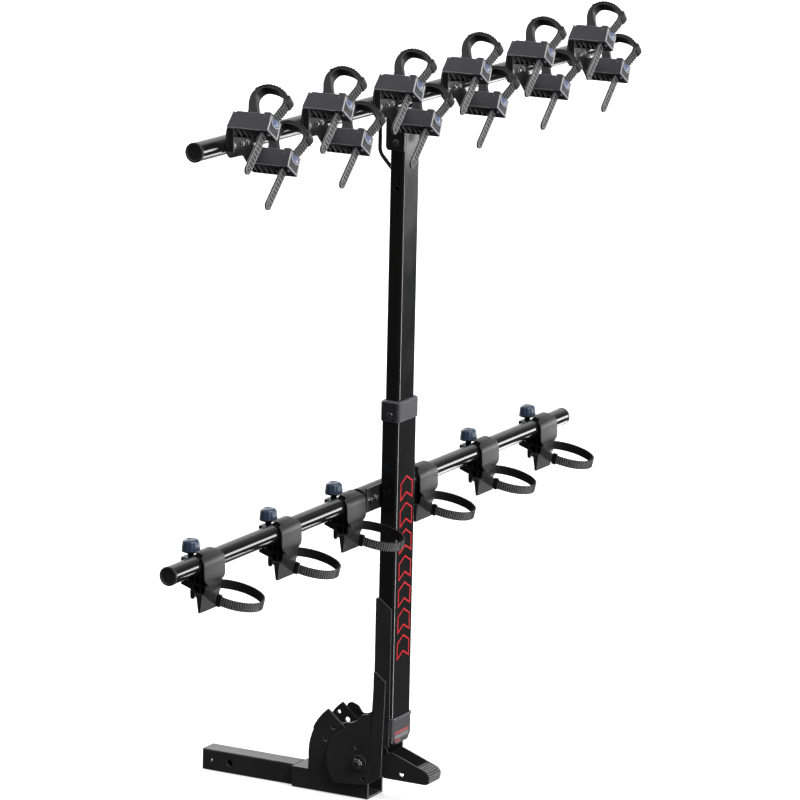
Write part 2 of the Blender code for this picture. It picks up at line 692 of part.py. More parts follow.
def strap_loop(centre):
    """The horn that rises from a block and the strap from its top over the handlebar to the ratchet."""
    base = 0.010
    horn_front = [(-0.052, base), (-0.054, 0.028), (-0.0455, 0.052), (-0.0435, 0.073)]
    over = [(-0.050, 0.0915), (-0.062, 0.0985), (-0.076, 0.1015), (-0.1015, 0.096), (-0.1235, 0.082)]
    leg = [(-0.1385, 0.069), (-0.133, 0.050), (-0.119, base), (-0.110, base), (-0.119, 0.055)]
    under = [(-0.114, 0.073), (-0.098, 0.0865), (-0.076, 0.0915), (-0.066, 0.089), (-0.059, 0.082)]
    horn_rear = [(-0.057, 0.068), (-0.066, 0.048), (-0.076, 0.032), (-0.084, base)]
    outline = horn_front + over + leg + under + horn_rear
    return prism("X", outline, centre - STRAP_HALF, centre + STRAP_HALF)


def strap_tail(centre):
    """The free end of the strap, which hangs from the ratchet and has a round tip."""
    bottom = -BLOCK_HALF[1] - TAIL_LENGTH + TAIL_HALF
    outline = arc((centre, bottom), TAIL_HALF, 180, 360, 6)
    outline += [(centre + TAIL_HALF, -BLOCK_HALF[1] + 0.004), (centre - TAIL_HALF, -BLOCK_HALF[1] + 0.004)]
    return prism("Y", outline, TAIL_Y - 0.0025, TAIL_Y + 0.0025)


def hanger_shape():
    parts = []
    pockets = []
    for centre in (-BLOCK_SPREAD, BLOCK_SPREAD):
        parts += [cradle_block(centre), strap_loop(centre), strap_tail(centre)]
        pocket = rod("Z", BUTTON_RADIUS + 0.0005, -0.0095, 0.02, 16)
        pockets.append(moved(pocket, button_frame(centre)))
    return combined(hanger_plate(), parts, pockets)


def button_shape():
    """A ratchet's push button, drawn along Z with its face at 0."""
    low, proud = -0.005, 0.0015
    profile = [(0, low), (BUTTON_RADIUS, low), (BUTTON_RADIUS, proud - 0.001), (BUTTON_RADIUS - 0.001, proud)]
    return turned("Z", [*profile, (0, proud)], 16)


def hangers(plastic, blue, pivot):
    hanger, button = hanger_shape(), button_shape()
    dress(hanger, plastic)
    dress(button, blue)
    turn = Matrix.Rotation(HANGER_LEAN, 4, "Y")
    for number in range(1, BIKES + 1):
        x = HANGER_X + HANGER_STEP * (number - 1)
        middle = Vector((x, 0, UPPER_BAR[1] + HANGER_RISE))
        copy_of(hanger, f"hanger_{number}", pivot, middle, HANGER_LEAN)
        for centre, label in ((-BLOCK_SPREAD, "a"), (BLOCK_SPREAD, "b")):
            frame = turn @ button_frame(centre)
            twin = copy_of(button, f"ratchet_button_{number}{label}", pivot, middle + frame.translation)
            twin.rotation_euler = frame.to_euler()
    bpy.data.objects.remove(hanger)
    bpy.data.objects.remove(button)


def main():
    for obj in list(bpy.data.objects):
        bpy.data.objects.remove(obj)
    coat = material("powder_coat", (0.018, 0.018, 0.020), 0.38, 0.3)
    gloss = material("gloss_coat", (0.012, 0.012, 0.014), 0.25, 0.3)
    zinc = material("zinc_steel", (0.45, 0.45, 0.46), 0.35, 1.0)
    plastic = material("charcoal_plastic", (0.035, 0.035, 0.042), 0.6)
    blue = material("slate_blue_plastic", (0.10, 0.16, 0.27), 0.5)
    rubber = material("strap_rubber", (0.022, 0.022, 0.024), 0.6)

    root = empty("rack_frame", (0, 0, 0))
    root.location = (0, -HITCH_PIN_Y, 0)
    pivot = empty("tilt_axis", (0, *PIVOT), root)

    hitch_shank(coat, root)
    base_bracket(coat, root)
    pivot_fasteners(zinc, root)
    tilt_frame(coat, pivot)
    mast_channel(coat, pivot)
    lock_arm(coat, pivot)
    lock_pin(zinc, pivot)
    foot_pedal(coat, pivot)
    pedal_axle(zinc, pivot)
    mast_cup(plastic, pivot)
    lower_mast(gloss, pivot)
    mast_collar(plastic, pivot)
    collar_bolt(zinc, pivot)
    lower_bar_bracket(coat, pivot)
    crossbar("lower_crossbar", LOWER_BAR, gloss, pivot)
    end_caps("lower_end_cap", LOWER_BAR, plastic, pivot)
    wheel_cradles(plastic, blue, rubber, pivot)
    upper_mast(gloss, pivot)
    upper_bar_saddle(coat, pivot)
    cable_hoop(coat, pivot)
    crossbar("upper_crossbar", UPPER_BAR, gloss, pivot)
    end_caps("upper_end_cap", UPPER_BAR, plastic, pivot)
    hangers(plastic, blue, pivot)


main()
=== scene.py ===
"""The looks of a hitch mounted rack for six bicycles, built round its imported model.

Metres, X along the crossbars, Y to the car, Z up. Shapes are drawn in the mast's frame, whose Y is 0 at the
middle of the mast, from a crossbar's middle line, or in a hanger's frame, which leans 45 degrees about Y.
"""

import math

import bmesh
import bpy
from mathutils import Matrix, Vector


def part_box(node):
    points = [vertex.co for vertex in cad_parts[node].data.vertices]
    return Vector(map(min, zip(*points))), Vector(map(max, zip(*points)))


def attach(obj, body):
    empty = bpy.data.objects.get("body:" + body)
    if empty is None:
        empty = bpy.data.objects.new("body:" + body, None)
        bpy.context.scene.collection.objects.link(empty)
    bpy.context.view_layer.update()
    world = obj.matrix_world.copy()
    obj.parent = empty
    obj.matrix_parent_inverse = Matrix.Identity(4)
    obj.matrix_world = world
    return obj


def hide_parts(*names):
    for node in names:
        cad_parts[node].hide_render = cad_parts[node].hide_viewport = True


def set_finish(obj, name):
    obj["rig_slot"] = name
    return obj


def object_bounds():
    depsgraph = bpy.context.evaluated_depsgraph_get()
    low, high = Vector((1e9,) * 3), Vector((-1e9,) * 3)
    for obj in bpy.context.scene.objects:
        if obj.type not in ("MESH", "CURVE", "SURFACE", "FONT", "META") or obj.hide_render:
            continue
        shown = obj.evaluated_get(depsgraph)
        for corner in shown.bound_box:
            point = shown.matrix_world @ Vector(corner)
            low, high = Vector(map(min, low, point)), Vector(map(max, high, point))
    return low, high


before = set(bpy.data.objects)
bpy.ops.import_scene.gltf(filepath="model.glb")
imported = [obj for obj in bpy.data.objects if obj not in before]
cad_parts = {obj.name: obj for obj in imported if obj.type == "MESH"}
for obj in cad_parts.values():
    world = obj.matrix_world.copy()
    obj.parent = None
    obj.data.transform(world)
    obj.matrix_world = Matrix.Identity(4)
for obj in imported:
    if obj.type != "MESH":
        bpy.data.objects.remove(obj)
CAD_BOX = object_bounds()
BIKES = 6

# The camera: which way it looks, in degrees, and where it stands
CAMERA_PLACE = Vector((-9.573, -5.490, 3.275))
CAMERA_AZIMUTH = 62.07
CAMERA_ELEVATION = 12.30
CAMERA_ROLL = 1.25
CAMERA_LENS = 221.1
SENSOR = 36.0


# Places that the frame gives


def middle(node):
    low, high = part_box(node)
    return (low + high) / 2


def half_size(node):
    """Half a node's width, depth and height."""
    low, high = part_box(node)
    return [(b - a) / 2 for a, b in zip(low, high)]


def side_place(node):
    """A node's middle in the mast's frame, as Y and Z."""
    point = middle(node)
    return point.y - MAST_Y, point.z


MAST_Y = middle("upper_mast").y
MAST_FRAME = Matrix.Translation((0, MAST_Y, 0))
PIVOT = side_place("pivot_bolt")
PEDAL_AXLE = side_place("pedal_axle")
LOWER_BAR = side_place("lower_crossbar")
BAR_RADIUS = half_size("lower_crossbar")[2]
FLOOR_Z = CAD_BOX[0].z

# Base bracket and tilting frame, in the mast's frame
BASE_HALF = 0.037
BASE_PLATE = 0.006
BASE_SHEET = 0.005
PIVOT_BORE = 0.0083
BOX_Y = (0.0415, 0.241)
BOX_Z = (-0.0247, 0.0245)
BOX_REAR_TOP = 0.0095
INDEX_FRONT = 0.199
INDEX_RADIUS = 0.105
INDEX_FIRST = 1.9
INDEX_STEP = 20.3
INDEX_HOLE = 0.0064
DISC_RADIUS = 0.0845
TILT_HALF = (0.0481, 0.0521)
TILT_WEB = (0.0251, 0.0286)
TILT_EDGE = 0.0243
TILT_TOP = 0.285
PEDAL_HALF = 0.029
PEDAL_PLATE = 0.004
PEDAL_BOTTOM = 0.030
PEDAL_HOLE = (-0.041, 0.047)
PEDAL_TREAD = [(-0.079, 0.0707), (-0.105, 0.061), (-0.113, 0.052), (-0.111, 0.034)]

# Mast and its fittings
MAST_CORNER = 0.008
MAST_WALL = 0.0026
BAR_WALL = 0.0025
COLLAR_BOLT = (-0.0026, 0.8866)
MAST_HOLE = (0.0, 1.4024)
GRAPHIC_X = (-0.028, 0.030)
GRAPHIC_Z = (0.312, 0.746)
GRAPHIC_LINE = 0.0034
CHEVRONS = 7

# Wheel cradles, drawn from the lower bar's middle
CRADLE_HALF = 0.044
NECK_HALF = 0.030
COVER_SHEET = 0.0028
KNOB_FORWARD = 0.0315
KNOB_RADIUS = 0.0203
FLUTES = 12
FLUTE_DEPTH = 0.045
RING_RADII = (0.060, 0.067)
RING_CENTRE = (-0.078, -0.063)
RING_DROOP = math.radians(13)
RING_SHEET = 0.0026
RING_HALF_WIDTH = 0.0105
TOOTH = 0.0009
RING_TOOTH_PITCH = 0.0052
RING_FREE_END = math.radians(262)
KEEPER_START = math.radians(171)
KEEPER_SPAN = math.radians(9)

# Handlebar hangers, drawn in their own leaning frame
HANGER_LEAN = math.radians(45)
BLOCK_SPREAD = 0.0615
BLOCK_HALF = (0.018, 0.0215)
BLOCK_FRONT = -0.0254
BLOCK_REAR = -0.129
BLOCK_WALL = 0.0022
RIB_PLACES = (-0.034, -0.047, -0.060, -0.073, -0.084)
STRAP_HALF = 0.013
TAIL_HALF = 0.011
TAIL_LENGTH = 0.100
TAIL_Y = -0.1075
TAIL_TIP = -BLOCK_HALF[1] - TAIL_LENGTH + TAIL_HALF
TAIL_HOLE = 0.0030
TAIL_HOLE_Z = TAIL_TIP - 0.001
TAIL_RIM = 0.0030
RUNGS = 9
BUTTON_RADIUS = 0.011
BUTTON_HEIGHT = 0.0135
BUTTON_LEAN = math.radians(13)
BUTTON_MIDDLE_HEIGHT = 0.0131
BUTTON_GAP = 0.0015
RATCHET_TURN = math.radians(15)


# Mesh tools


def arc(centre, radius, start, end, steps):
    """Points on a circle from one angle to another, in degrees."""
    angles = [math.radians(start + (end - start) * i / steps) for i in range(steps + 1)]
    return [(centre[0] + radius * math.cos(a), centre[1] + radius * math.sin(a)) for a in angles]


def circle(centre, radius, sides):
    return arc(centre, radius, 0, 360 - 360 / sides, sides - 1)


def rounded_rectangle(half_width, half_depth, corner, steps=8):
    """A rectangle's outline with round corners, counterclockwise."""
    x = half_width - corner
    y = half_depth - corner
    points = []
    for turn, (cx, cy) in enumerate(((x, y), (-x, y), (-x, -y), (x, -y))):
        points += arc((cx, cy), corner, 90 * turn, 90 * turn + 90, steps)
    return points


def rounded(outline, radius, steps=4):
    """The outline with each corner swapped for a short curve that starts this far from it, or nearer."""
    points = []
    for i, corner in enumerate(outline):
        here = Vector(corner)
        before = Vector(outline[i - 1]) - here
        after = Vector(outline[(i + 1) % len(outline)]) - here
        reach = min(radius, 0.4 * before.length, 0.4 * after.length)
        start = here + before.normalized() * reach
        end = here + after.normalized() * reach
        for k in range(steps + 1):
            t = k / steps
            points.append(tuple(start * (1 - t) ** 2 + here * 2 * t * (1 - t) + end * t**2))
    return points


def inset(outline, width):
    """The outline moved inwards by this width, for one that runs counterclockwise."""
    points = []
    for i, corner in enumerate(outline):
        here = Vector(corner)
        before = (here - Vector(outline[i - 1])).normalized()
        after = (Vector(outline[(i + 1) % len(outline)]) - here).normalized()
        inward = Vector((-before.y - after.y, before.x + after.x)).normalized()
        points.append(tuple(here + inward * width / inward.dot(Vector((-after.y, after.x)))))
    return points


def along(axis, a, b, t):
    """A point at t along the axis, with a and b on the other two in XYZ order."""
    return {"X": (t, a, b), "Y": (a, t, b), "Z": (a, b, t)}[axis]


def shape(bm):
    """A working object that holds the mesh."""
    bmesh.ops.recalc_face_normals(bm, faces=bm.faces)
    mesh = bpy.data.meshes.new("shape")
    bm.to_mesh(mesh)
    bm.free()
    obj = bpy.data.objects.new("shape", mesh)
    bpy.context.scene.collection.objects.link(obj)
    return obj


def loft(sections):
    """A solid through closed sections that have as many points each."""
    bm = bmesh.new()
    rings = [[bm.verts.new(point) for point in section] for section in sections]
    bm.faces.new(rings[0])
    bm.faces.new(rings[-1])
    for lower, upper in zip(rings, rings[1:]):
        for i in range(len(lower)):
            bm.faces.new((lower[i - 1], lower[i], upper[i], upper[i - 1]))
    return shape(bm)


def prism(axis, outline, start, end):
    """A solid with this outline, pushed along the axis."""
    return loft([[along(axis, a, b, t) for a, b in outline] for t in (start, end)])


def plates(outline, inner, outer):
    """Two plates with this outline in Y and Z, on either side of the middle."""
    return prism("X", outline, -outer, -inner), prism("X", outline, inner, outer)


def box(x, y, z):
    return prism("Z", [(x[0], y[0]), (x[1], y[0]), (x[1], y[1]), (x[0], y[1])], *z)


def hollow_prism(axis, outer, inner, start, end):
    """A tube between two outlines that have as many points each."""
    bm = bmesh.new()
    rings = []
    for outline in (outer, inner):
        for t in (start, end):
            rings.append([bm.verts.new(along(axis, a, b, t)) for a, b in outline])
    pairs = ((rings[0], rings[1]), (rings[1], rings[3]), (rings[3], rings[2]), (rings[2], rings[0]))
    for first, second in pairs:
        for i in range(len(outer)):
            bm.faces.new((first[i - 1], first[i], second[i], second[i - 1]))
    return shape(bm)


def turned(axis, profile, sides=48, centre=(0, 0), shrink=None):
    """A solid of revolution. The profile's points are (radius, distance along the axis), from pole to pole.
    shrink(angle, distance) may give a share of the radius, for flutes."""
    bm = bmesh.new()
    rings = []
    for radius, t in profile:
        if radius == 0:
            rings.append([bm.verts.new(along(axis, *centre, t))] * sides)
            continue
        ring = []
        for i in range(sides):
            angle = math.tau * i / sides
            share = shrink(angle, t) if shrink else 1
            a = centre[0] + radius * share * math.cos(angle)
            b = centre[1] + radius * share * math.sin(angle)
            ring.append(bm.verts.new(along(axis, a, b, t)))
        rings.append(ring)
    for lower, upper in zip(rings, rings[1:]):
        for i in range(sides):
            corners = [lower[i - 1], lower[i], upper[i], upper[i - 1]]
            bm.faces.new(list(dict.fromkeys(corners)))
    return shape(bm)


def rod(axis, radius, start, end, sides=32, centre=(0, 0)):
    return turned(axis, [(0, start), (radius, start), (radius, end), (0, end)], sides, centre)


def hex_head(axis, radius, start, end, centre=(0, 0)):
    """A hexagon head with a chamfered far end, on a thin round flange."""
    height = end - start
    rim = start + 0.15 * height
    flange = [(0, start), (radius * 1.25, start), (radius * 1.25, rim), (0, rim)]
    head = [(0, start), (radius, start), (radius, end - 0.18 * height), (radius * 0.88, end), (0, end)]
    return combined(turned(axis, flange, 32, centre), [turned(axis, head, 6, centre)])


def swept(path, outlines):
    """A solid along a path in Y and Z. Each point's outline is in X and distance off the path."""
    sections = []
    for i, (point, outline) in enumerate(zip(path, outlines)):
        before = Vector(path[max(i - 1, 0)])
        after = Vector(path[min(i + 1, len(path) - 1)])
        forward = (after - before).normalized()
        sections.append([(a, point[0] - forward.y * b, point[1] + forward.x * b) for a, b in outline])
    return loft(sections)


def moved(obj, matrix):
    obj.data.transform(matrix)
    return obj


def combined(base, joins=(), cuts=()):
    """The base with the joins added and the cuts taken away, as one plain mesh."""
    for operation, tools in (("UNION", joins), ("DIFFERENCE", cuts)):
        for tool in tools:
            boolean = base.modifiers.new(operation, "BOOLEAN")
            boolean.operation = operation
            boolean.object = tool
    graph = bpy.context.evaluated_depsgraph_get()
    mesh = bpy.data.meshes.new_from_object(base.evaluated_get(graph))
    base.modifiers.clear()
    base.data = mesh
    for tool in (*joins, *cuts):
        bpy.data.objects.remove(tool)
    return base


def gathered(parts):
    """Several working objects as the separate shells of one."""
    bm = bmesh.new()
    for part in parts:
        bm.from_mesh(part.data)
        bpy.data.objects.remove(part)
    return shape(bm)


def copied(node):
    """A CAD node's mesh as a working object, with the triangles of each flat face joined up."""
    bm = bmesh.new()
    bm.from_mesh(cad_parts[node].data)
    bmesh.ops.remove_doubles(bm, verts=bm.verts, dist=1e-5)
    bmesh.ops.dissolve_limit(bm, angle_limit=math.radians(1), verts=bm.verts, edges=bm.edges)
    return shape(bm)


# Materials


def feed(tree, node, inputs):
    """Gives a node's inputs plain values or the outputs of other nodes."""
    for key, value in inputs.items():
        if isinstance(value, bpy.types.NodeSocket):
            tree.links.new(value, node.inputs[key])
        else:
            node.inputs[key].default_value = value
    return node


def noise(tree, scale, detail=3.0):
    """Noise over the piece's own metres, from 0 to 1."""
    place = tree.nodes.new("ShaderNodeTexCoord").outputs["Object"]
    texture = tree.nodes.new("ShaderNodeTexNoise")
    return feed(tree, texture, {"Scale": scale, "Detail": detail, "Vector": place}).outputs["Fac"]


def ramp(tree, value, stops):
    """The value turned into a colour or a grey between the stops, which are (position, colour)."""
    node = tree.nodes.new("ShaderNodeValToRGB")
    elements = node.color_ramp.elements
    while len(elements) < len(stops):
        elements.new(0.5)
    for element, (position, colour) in zip(elements, stops):
        element.position = position
        element.color = (*colour, 1) if isinstance(colour, tuple) else (colour, colour, colour, 1)
    tree.links.new(value, node.inputs["Fac"])
    return node.outputs["Color"]


def mixed(tree, share, first, second):
    node = tree.nodes.new("ShaderNodeMix")
    node.data_type = "RGBA"
    return feed(tree, node, {"Factor": share, "A": first, "B": second}).outputs["Result"]


def surface(name, dark, light, gloss, grain=900.0, relief=0.0002, patch=12.0, shine=0.5, metal=0.0):
    """A finish whose colour runs between dark and light in soft patches under a fine grain, whose roughness
    runs between the two values of gloss, and whose grain stands out by the relief in metres."""
    made = bpy.data.materials.new(name)
    made.use_nodes = True
    tree = made.node_tree
    patches = noise(tree, patch, 5.0)
    fine = noise(tree, grain, 3.0)
    soft = ramp(tree, patches, [(0.32, dark), (0.68, light)])
    deep = tuple(0.7 * c for c in dark)
    bright = tuple(1.15 * c for c in light)
    speckled = ramp(tree, fine, [(0.30, deep), (0.70, bright)])
    half = ramp(tree, noise(tree, 3 * patch), [(0.35, 0.15), (0.65, 0.6)])
    bump = tree.nodes.new("ShaderNodeBump")
    feed(tree, bump, {"Strength": 0.6, "Distance": relief, "Height": fine})
    inputs = {"Metallic": metal, "Specular IOR Level": shine, "Normal": bump.outputs["Normal"]}
    inputs["Base Color"] = mixed(tree, half, soft, speckled)
    inputs["Roughness"] = ramp(tree, patches, [(0.3, gloss[0]), (0.7, gloss[1])])
    feed(tree, tree.nodes["Principled BSDF"], inputs)
    return made


def grey(level, tint=(1.0, 1.0, 1.0)):
    return tuple(level * t for t in tint)


def finish(name, dark, light, gloss, slot, wear_and_highlight=1.6, **more):
    """A finish for a piece's faces, a lighter one for its edges, which is partly wear and partly a painted
    highlight, and its slot in the record.
    """
    face = surface(name, dark, light, gloss, **more)
    # The edges are lighter than the faces by this factor: partly wear, partly a painted highlight where the
    # rounded edges catch the light.
    edge_wear_highlight_dark = tuple(wear_and_highlight * c for c in light)
    edge_wear_highlight_light = tuple(2 * wear_and_highlight * c for c in light)
    more["patch"] = 60.0
    edge = surface(f"{name}_edge", edge_wear_highlight_dark, edge_wear_highlight_light, tuple(0.85 * g for g in gloss), **more)
    return face, edge, slot


VIOLET = (1.0, 0.96, 1.14)
SOFT = {"grain": 1500.0, "shine": 0.32}
CLEAR = {"grain": 500.0, "relief": 0.00002}
METAL = {"metal": 1.0, "relief": 0.00005}
COARSE = {"relief": 0.00015}
FINE = {"grain": 1200.0}
RUBBER = {"grain": 1100.0, "shine": 0.3}
DUSK = (grey(0.024, VIOLET), grey(0.037, VIOLET))
SLATE = ((0.028, 0.046, 0.080), (0.046, 0.072, 0.118))
BUTTON_BLUE = ((0.075, 0.10, 0.18), (0.12, 0.15, 0.26))
RED = ((0.52, 0.008, 0.014), (0.64, 0.014, 0.022))
DULL_RED = ((0.26, 0.020, 0.024), (0.34, 0.030, 0.036))
# The number after each slot is how many times lighter the edges are: partly wear, partly a painted highlight.
LOOKS = {
    "coat": finish("powder_coat", grey(0.026), grey(0.040), (0.36, 0.46), "coat", 2.0, shine=0.45, **COARSE),
    "black": finish("black_coat", grey(0.008), grey(0.014), (0.38, 0.48), "coat", 4.0, shine=0.35, **COARSE),
    "flange": finish("bent_edge", grey(0.012), grey(0.020), (0.40, 0.50), "coat", 5.0, shine=0.4),
    "tread": finish("pedal_tread", grey(0.080), grey(0.140), (0.40, 0.55), "coat", 1.3),
    "red": finish("red_line", *RED, (0.55, 0.65), "coat", 1.0, shine=0.1),
    "label_red": finish("label_red", *DULL_RED, (0.40, 0.50), "coat", 1.0),
    "white": finish("label_grey", grey(0.12), grey(0.17), (0.45, 0.55), "coat", 1.0),
    "gloss": finish("gloss_coat", grey(0.006), grey(0.010), (0.10, 0.15), "gloss", 2.4, **CLEAR),
    "zinc": finish("zinc", grey(0.20), grey(0.32), (0.28, 0.42), "zinc", **METAL),
    "nickel": finish("nickel", grey(0.10), grey(0.18), (0.30, 0.45), "zinc", **METAL),
    "plastic": finish("charcoal", *DUSK, (0.42, 0.54), "plastic", 3.2, **SOFT),
    "cover": finish("cover_grey", grey(0.016), grey(0.026), (0.36, 0.46), "plastic", 2.4, **SOFT),
    "dark": finish("inner_black", grey(0.005), grey(0.009), (0.45, 0.55), "plastic", 3.0, **SOFT),
    "pale": finish("pale_grey", grey(0.30), grey(0.42), (0.40, 0.50), "plastic", 1.1, **FINE),
    # Far paler than the charcoal rest the ribs belong to: a painted highlight on the shaded underside and its
    # near lower edge.
    "rib": finish("rib_painted_highlight", grey(0.260), grey(0.380), (0.40, 0.50), "plastic", 1.3, **FINE),
    "blue": finish("slate_blue", *SLATE, (0.32, 0.42), "slate_blue", 1.5),
    "button": finish("button_blue", *BUTTON_BLUE, (0.25, 0.35), "slate_blue"),
    "strap": finish("strap_rubber", grey(0.006), grey(0.012), (0.48, 0.60), "strap", 2.6, **RUBBER),
    # The teeth are black rubber like the strap; this pale grey is a painted highlight on them.
    "tooth": finish("strap_tooth_highlight", grey(0.100), grey(0.160), (0.45, 0.60), "strap", 1.3),
    # The tail's rims and rungs: partly wear, partly a painted highlight on the raised ladder.
    "tail": finish("strap_wear_and_highlight", grey(0.025), grey(0.18), (0.5, 0.65), "strap", 1.2, patch=110.0),
    "groove": finish("strap_groove", grey(0.008), grey(0.025), (0.6, 0.7), "strap", patch=60.0),
}
EDGE_ANGLE = math.radians(32)
SHARP_ANGLE = math.radians(35)


# Pieces


def soften(obj, width):
    """Rounds the piece's hard edges and gives them its lighter edge finish, partly wear and partly a painted
    highlight.
    """
    bevel = obj.modifiers.new("edges", "BEVEL")
    bevel.width = width
    bevel.segments = 2
    bevel.limit_method = "ANGLE"
    bevel.angle_limit = EDGE_ANGLE
    bevel.use_clamp_overlap = False
    bevel.material = 1
    obj.modifiers.new("normals", "WEIGHTED_NORMAL")


def piece(name, obj, look, body, place=MAST_FRAME, nodes=(), edge=0.0005):
    """Turns a working object into a finished piece that rides on a body and stands for these CAD nodes."""
    obj.name = name
    obj.data.name = name
    # The second finish is the lighter edge one: partly wear, partly a painted highlight.
    face, edge_wear_and_highlight, slot = LOOKS[look]
    obj.data.materials.clear()
    obj.data.materials.append(face)
    obj.data.materials.append(edge_wear_and_highlight)
    obj.data.shade_smooth()
    if edge:
        soften(obj, edge)
    else:
        obj.data.set_sharp_from_angle(angle=SHARP_ANGLE)
    obj.matrix_world = place
    hand_over(obj, body, slot, nodes)
    return obj


def as_packed(name, node, look="coat", body="mast", edge=0.0005):
    """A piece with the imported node's own shape."""
    return piece(name, copied(node), look, body, Matrix.Identity(4), [node], edge)


def hand_over(obj, body, slot, nodes):
    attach(obj, body)
    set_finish(obj, slot)
    if nodes:
        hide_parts(*nodes)


def again(first, name, body, place, nodes=()):
    """Another copy of a finished piece, with the same mesh, edges and finish."""
    twin = bpy.data.objects.new(name, first.data)
    bpy.context.scene.collection.objects.link(twin)
    if first.modifiers:
        soften(twin, first.modifiers["edges"].width)
    twin.matrix_world = place
    hand_over(twin, body, first["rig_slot"], nodes)
    return twin


# Base: shank, bracket and pivot


def index_hole(number):
    """The middle of an index hole, as Y and Z."""
    angle = math.radians(INDEX_FIRST + INDEX_STEP * number)
    return PIVOT[0] + INDEX_RADIUS * math.cos(angle), PIVOT[1] + INDEX_RADIUS * math.sin(angle)


def index_plate_outline():
    """The side of the base bracket, box and index plate in one sheet, as Y and Z."""
    lower_rim = arc(PIVOT, 0.1415, -4.4, 24.1, 18)
    upper_rim = arc(PIVOT, 0.1445, 25.5, 50.4, 16)
    boss = arc(PIVOT, 0.030, 60, 200, 28)
    rear, front = BOX_Y
    low, high = BOX_Z
    foot = [(rear, low), (front, low), (front, high), (INDEX_FRONT, high)]
    return foot + lower_rim + upper_rim + [(0.1053, 0.1385)] + boss + [(rear, BOX_REAR_TOP)]


def base_bracket():
    inner = BASE_HALF - BASE_PLATE
    near, far = plates(index_plate_outline(), inner, BASE_HALF)
    reach = inner + 0.001
    rear, front = BOX_Y
    low, high = BOX_Z
    floor = box((-reach, reach), (rear, front), (low, low + BASE_SHEET))
    end = box((-reach, reach), (front - BASE_SHEET, front), (low, high))
    top = box((-reach, reach), (INDEX_FRONT, front), (high - BASE_SHEET, high))
    bosses = [rod("X", 0.019, s * (inner + 0.002), s * 0.0478, 48, PIVOT) for s in (-1, 1)]
    cuts = [rod("X", PIVOT_BORE, -0.06, 0.06, 32, PIVOT)]
    cuts += [rod("X", INDEX_HOLE, -0.06, 0.06, 32, index_hole(i)) for i in range(3)]
    cuts.append(rod("X", 0.0045, 0, 0.06, 24, (0.1573, 0.1508)))
    bracket = combined(near, [far, floor, end, top, *bosses], cuts)
    piece("index_bracket", bracket, "coat", "base", nodes=["base_bracket"], edge=0.0007)


THREAD_DEPTH = 0.0006


def threaded(radius, start, end, pitch=0.0016):
    """A threaded stretch of a turned profile, from start to end."""
    turns = int(abs(end - start) / pitch)
    step = (end - start) / turns
    profile = []
    for i in range(turns):
        profile += [(radius, start + i * step), (radius, start + (i + 0.35) * step)]
        profile.append((radius - THREAD_DEPTH, start + (i + 0.7) * step))
    return profile


def pivot_fasteners():
    """The bolt that the mast turns on, and the washer and nut on its near side."""
    radius = 0.008
    profile = [(0, -0.0663), (radius - 0.0012, -0.0663), *threaded(radius, -0.0655, -0.0545)]
    profile += [(radius, -0.054), (radius, 0.053), (0, 0.053)]
    head = hex_head("X", 0.014, 0.0524, 0.0615, PIVOT)
    bolt = gathered([turned("X", profile, 48, PIVOT), head])
    piece("pivot_screw", bolt, "nickel", "base", nodes=["pivot_bolt"], edge=0.0003)
    washer = turned("X", [(0, -0.0524), (0.019, -0.0524), (0.019, -0.0546), (0, -0.0546)], 64, PIVOT)
    piece("pivot_washer", washer, "coat", "base", edge=0.0004)
    profile = [(0, -0.0546), (0.0135, -0.0546), (0.0135, -0.0628), (0.0118, -0.0642), (0, -0.0642)]
    nut = combined(turned("X", profile, 6, PIVOT), cuts=[rod("X", radius + 0.0001, -0.07, -0.05, 48, PIVOT)])
    piece("pivot_lock_nut", nut, "nickel", "base", nodes=["pivot_nut"], edge=0.0004)


# Tilting frame: side plates, channel, lock and pedal


def tilt_plate_outline(with_ear):
    """A tilting side plate, as Y and Z: a disc round the pivot that runs up into the mast's channel."""
    disc = arc(PIVOT, DISC_RADIUS, -42, 45 if with_ear else 62, 44)
    ear = [(0.147, 0.158), (0.1445, 0.1685), (0.1356, 0.174), (0.1157, 0.168), (0.1044, 0.151)]
    shoulder = [(0.0898, 0.154), (0.076, 0.157), (0.064, 0.164), (0.0534, 0.179), (0.032, 0.184)]
    front = [(TILT_EDGE, 0.192), (TILT_EDGE, TILT_TOP), (0.0168, TILT_TOP)]
    rear = [(-0.007, 0.2647), (-0.005, 0.200), (-0.002, 0.123), (0.0, 0.045), (0.004, 0.036)]
    bottom = [(0.0345, 0.0149)]
    top = rounded((ear if with_ear else []) + shoulder, 0.006, 5)
    return disc + top + rounded(front, 0.002, 3) + rear + bottom


def tilt_frame():
    inner, outer = TILT_HALF
    near = prism("X", tilt_plate_outline(False), -outer, -inner)
    far = prism("X", tilt_plate_outline(True), inner, outer)
    web = box((-inner - 0.001, inner + 0.001), TILT_WEB, (0.120, 0.180))
    cuts = [rod("X", PIVOT_BORE, -0.06, 0.06, 32, PIVOT)]
    for y, z in ((0.0657, 0.0993), (0.0467, 0.0279)):
        cuts.append(rod("X", 0.0045, -0.06, 0.06, 28, (y, z)))
    piece("tilt_plates", combined(near, [far, web], cuts), "coat", "mast", nodes=["tilt_frame"], edge=0.0006)


def lock_parts():
    """The lock's arm, and its pin, which stands in the upright mast's index hole."""
    as_packed("lock_link", "lock_arm")
    tip = index_hole(0)
    profile = [(0, -0.0375), (0.0038, -0.0375), (0.0055, -0.0355), (0.0055, -0.0207), (0.009, -0.0207)]
    profile += [(0.009, -0.0165), (0.0055, -0.0165), (0.0055, -0.008), (0, -0.008)]
    piece("lock_bolt", turned("X", profile, 40, tip), "coat", "lock", nodes=["lock_pin"], edge=0.0003)


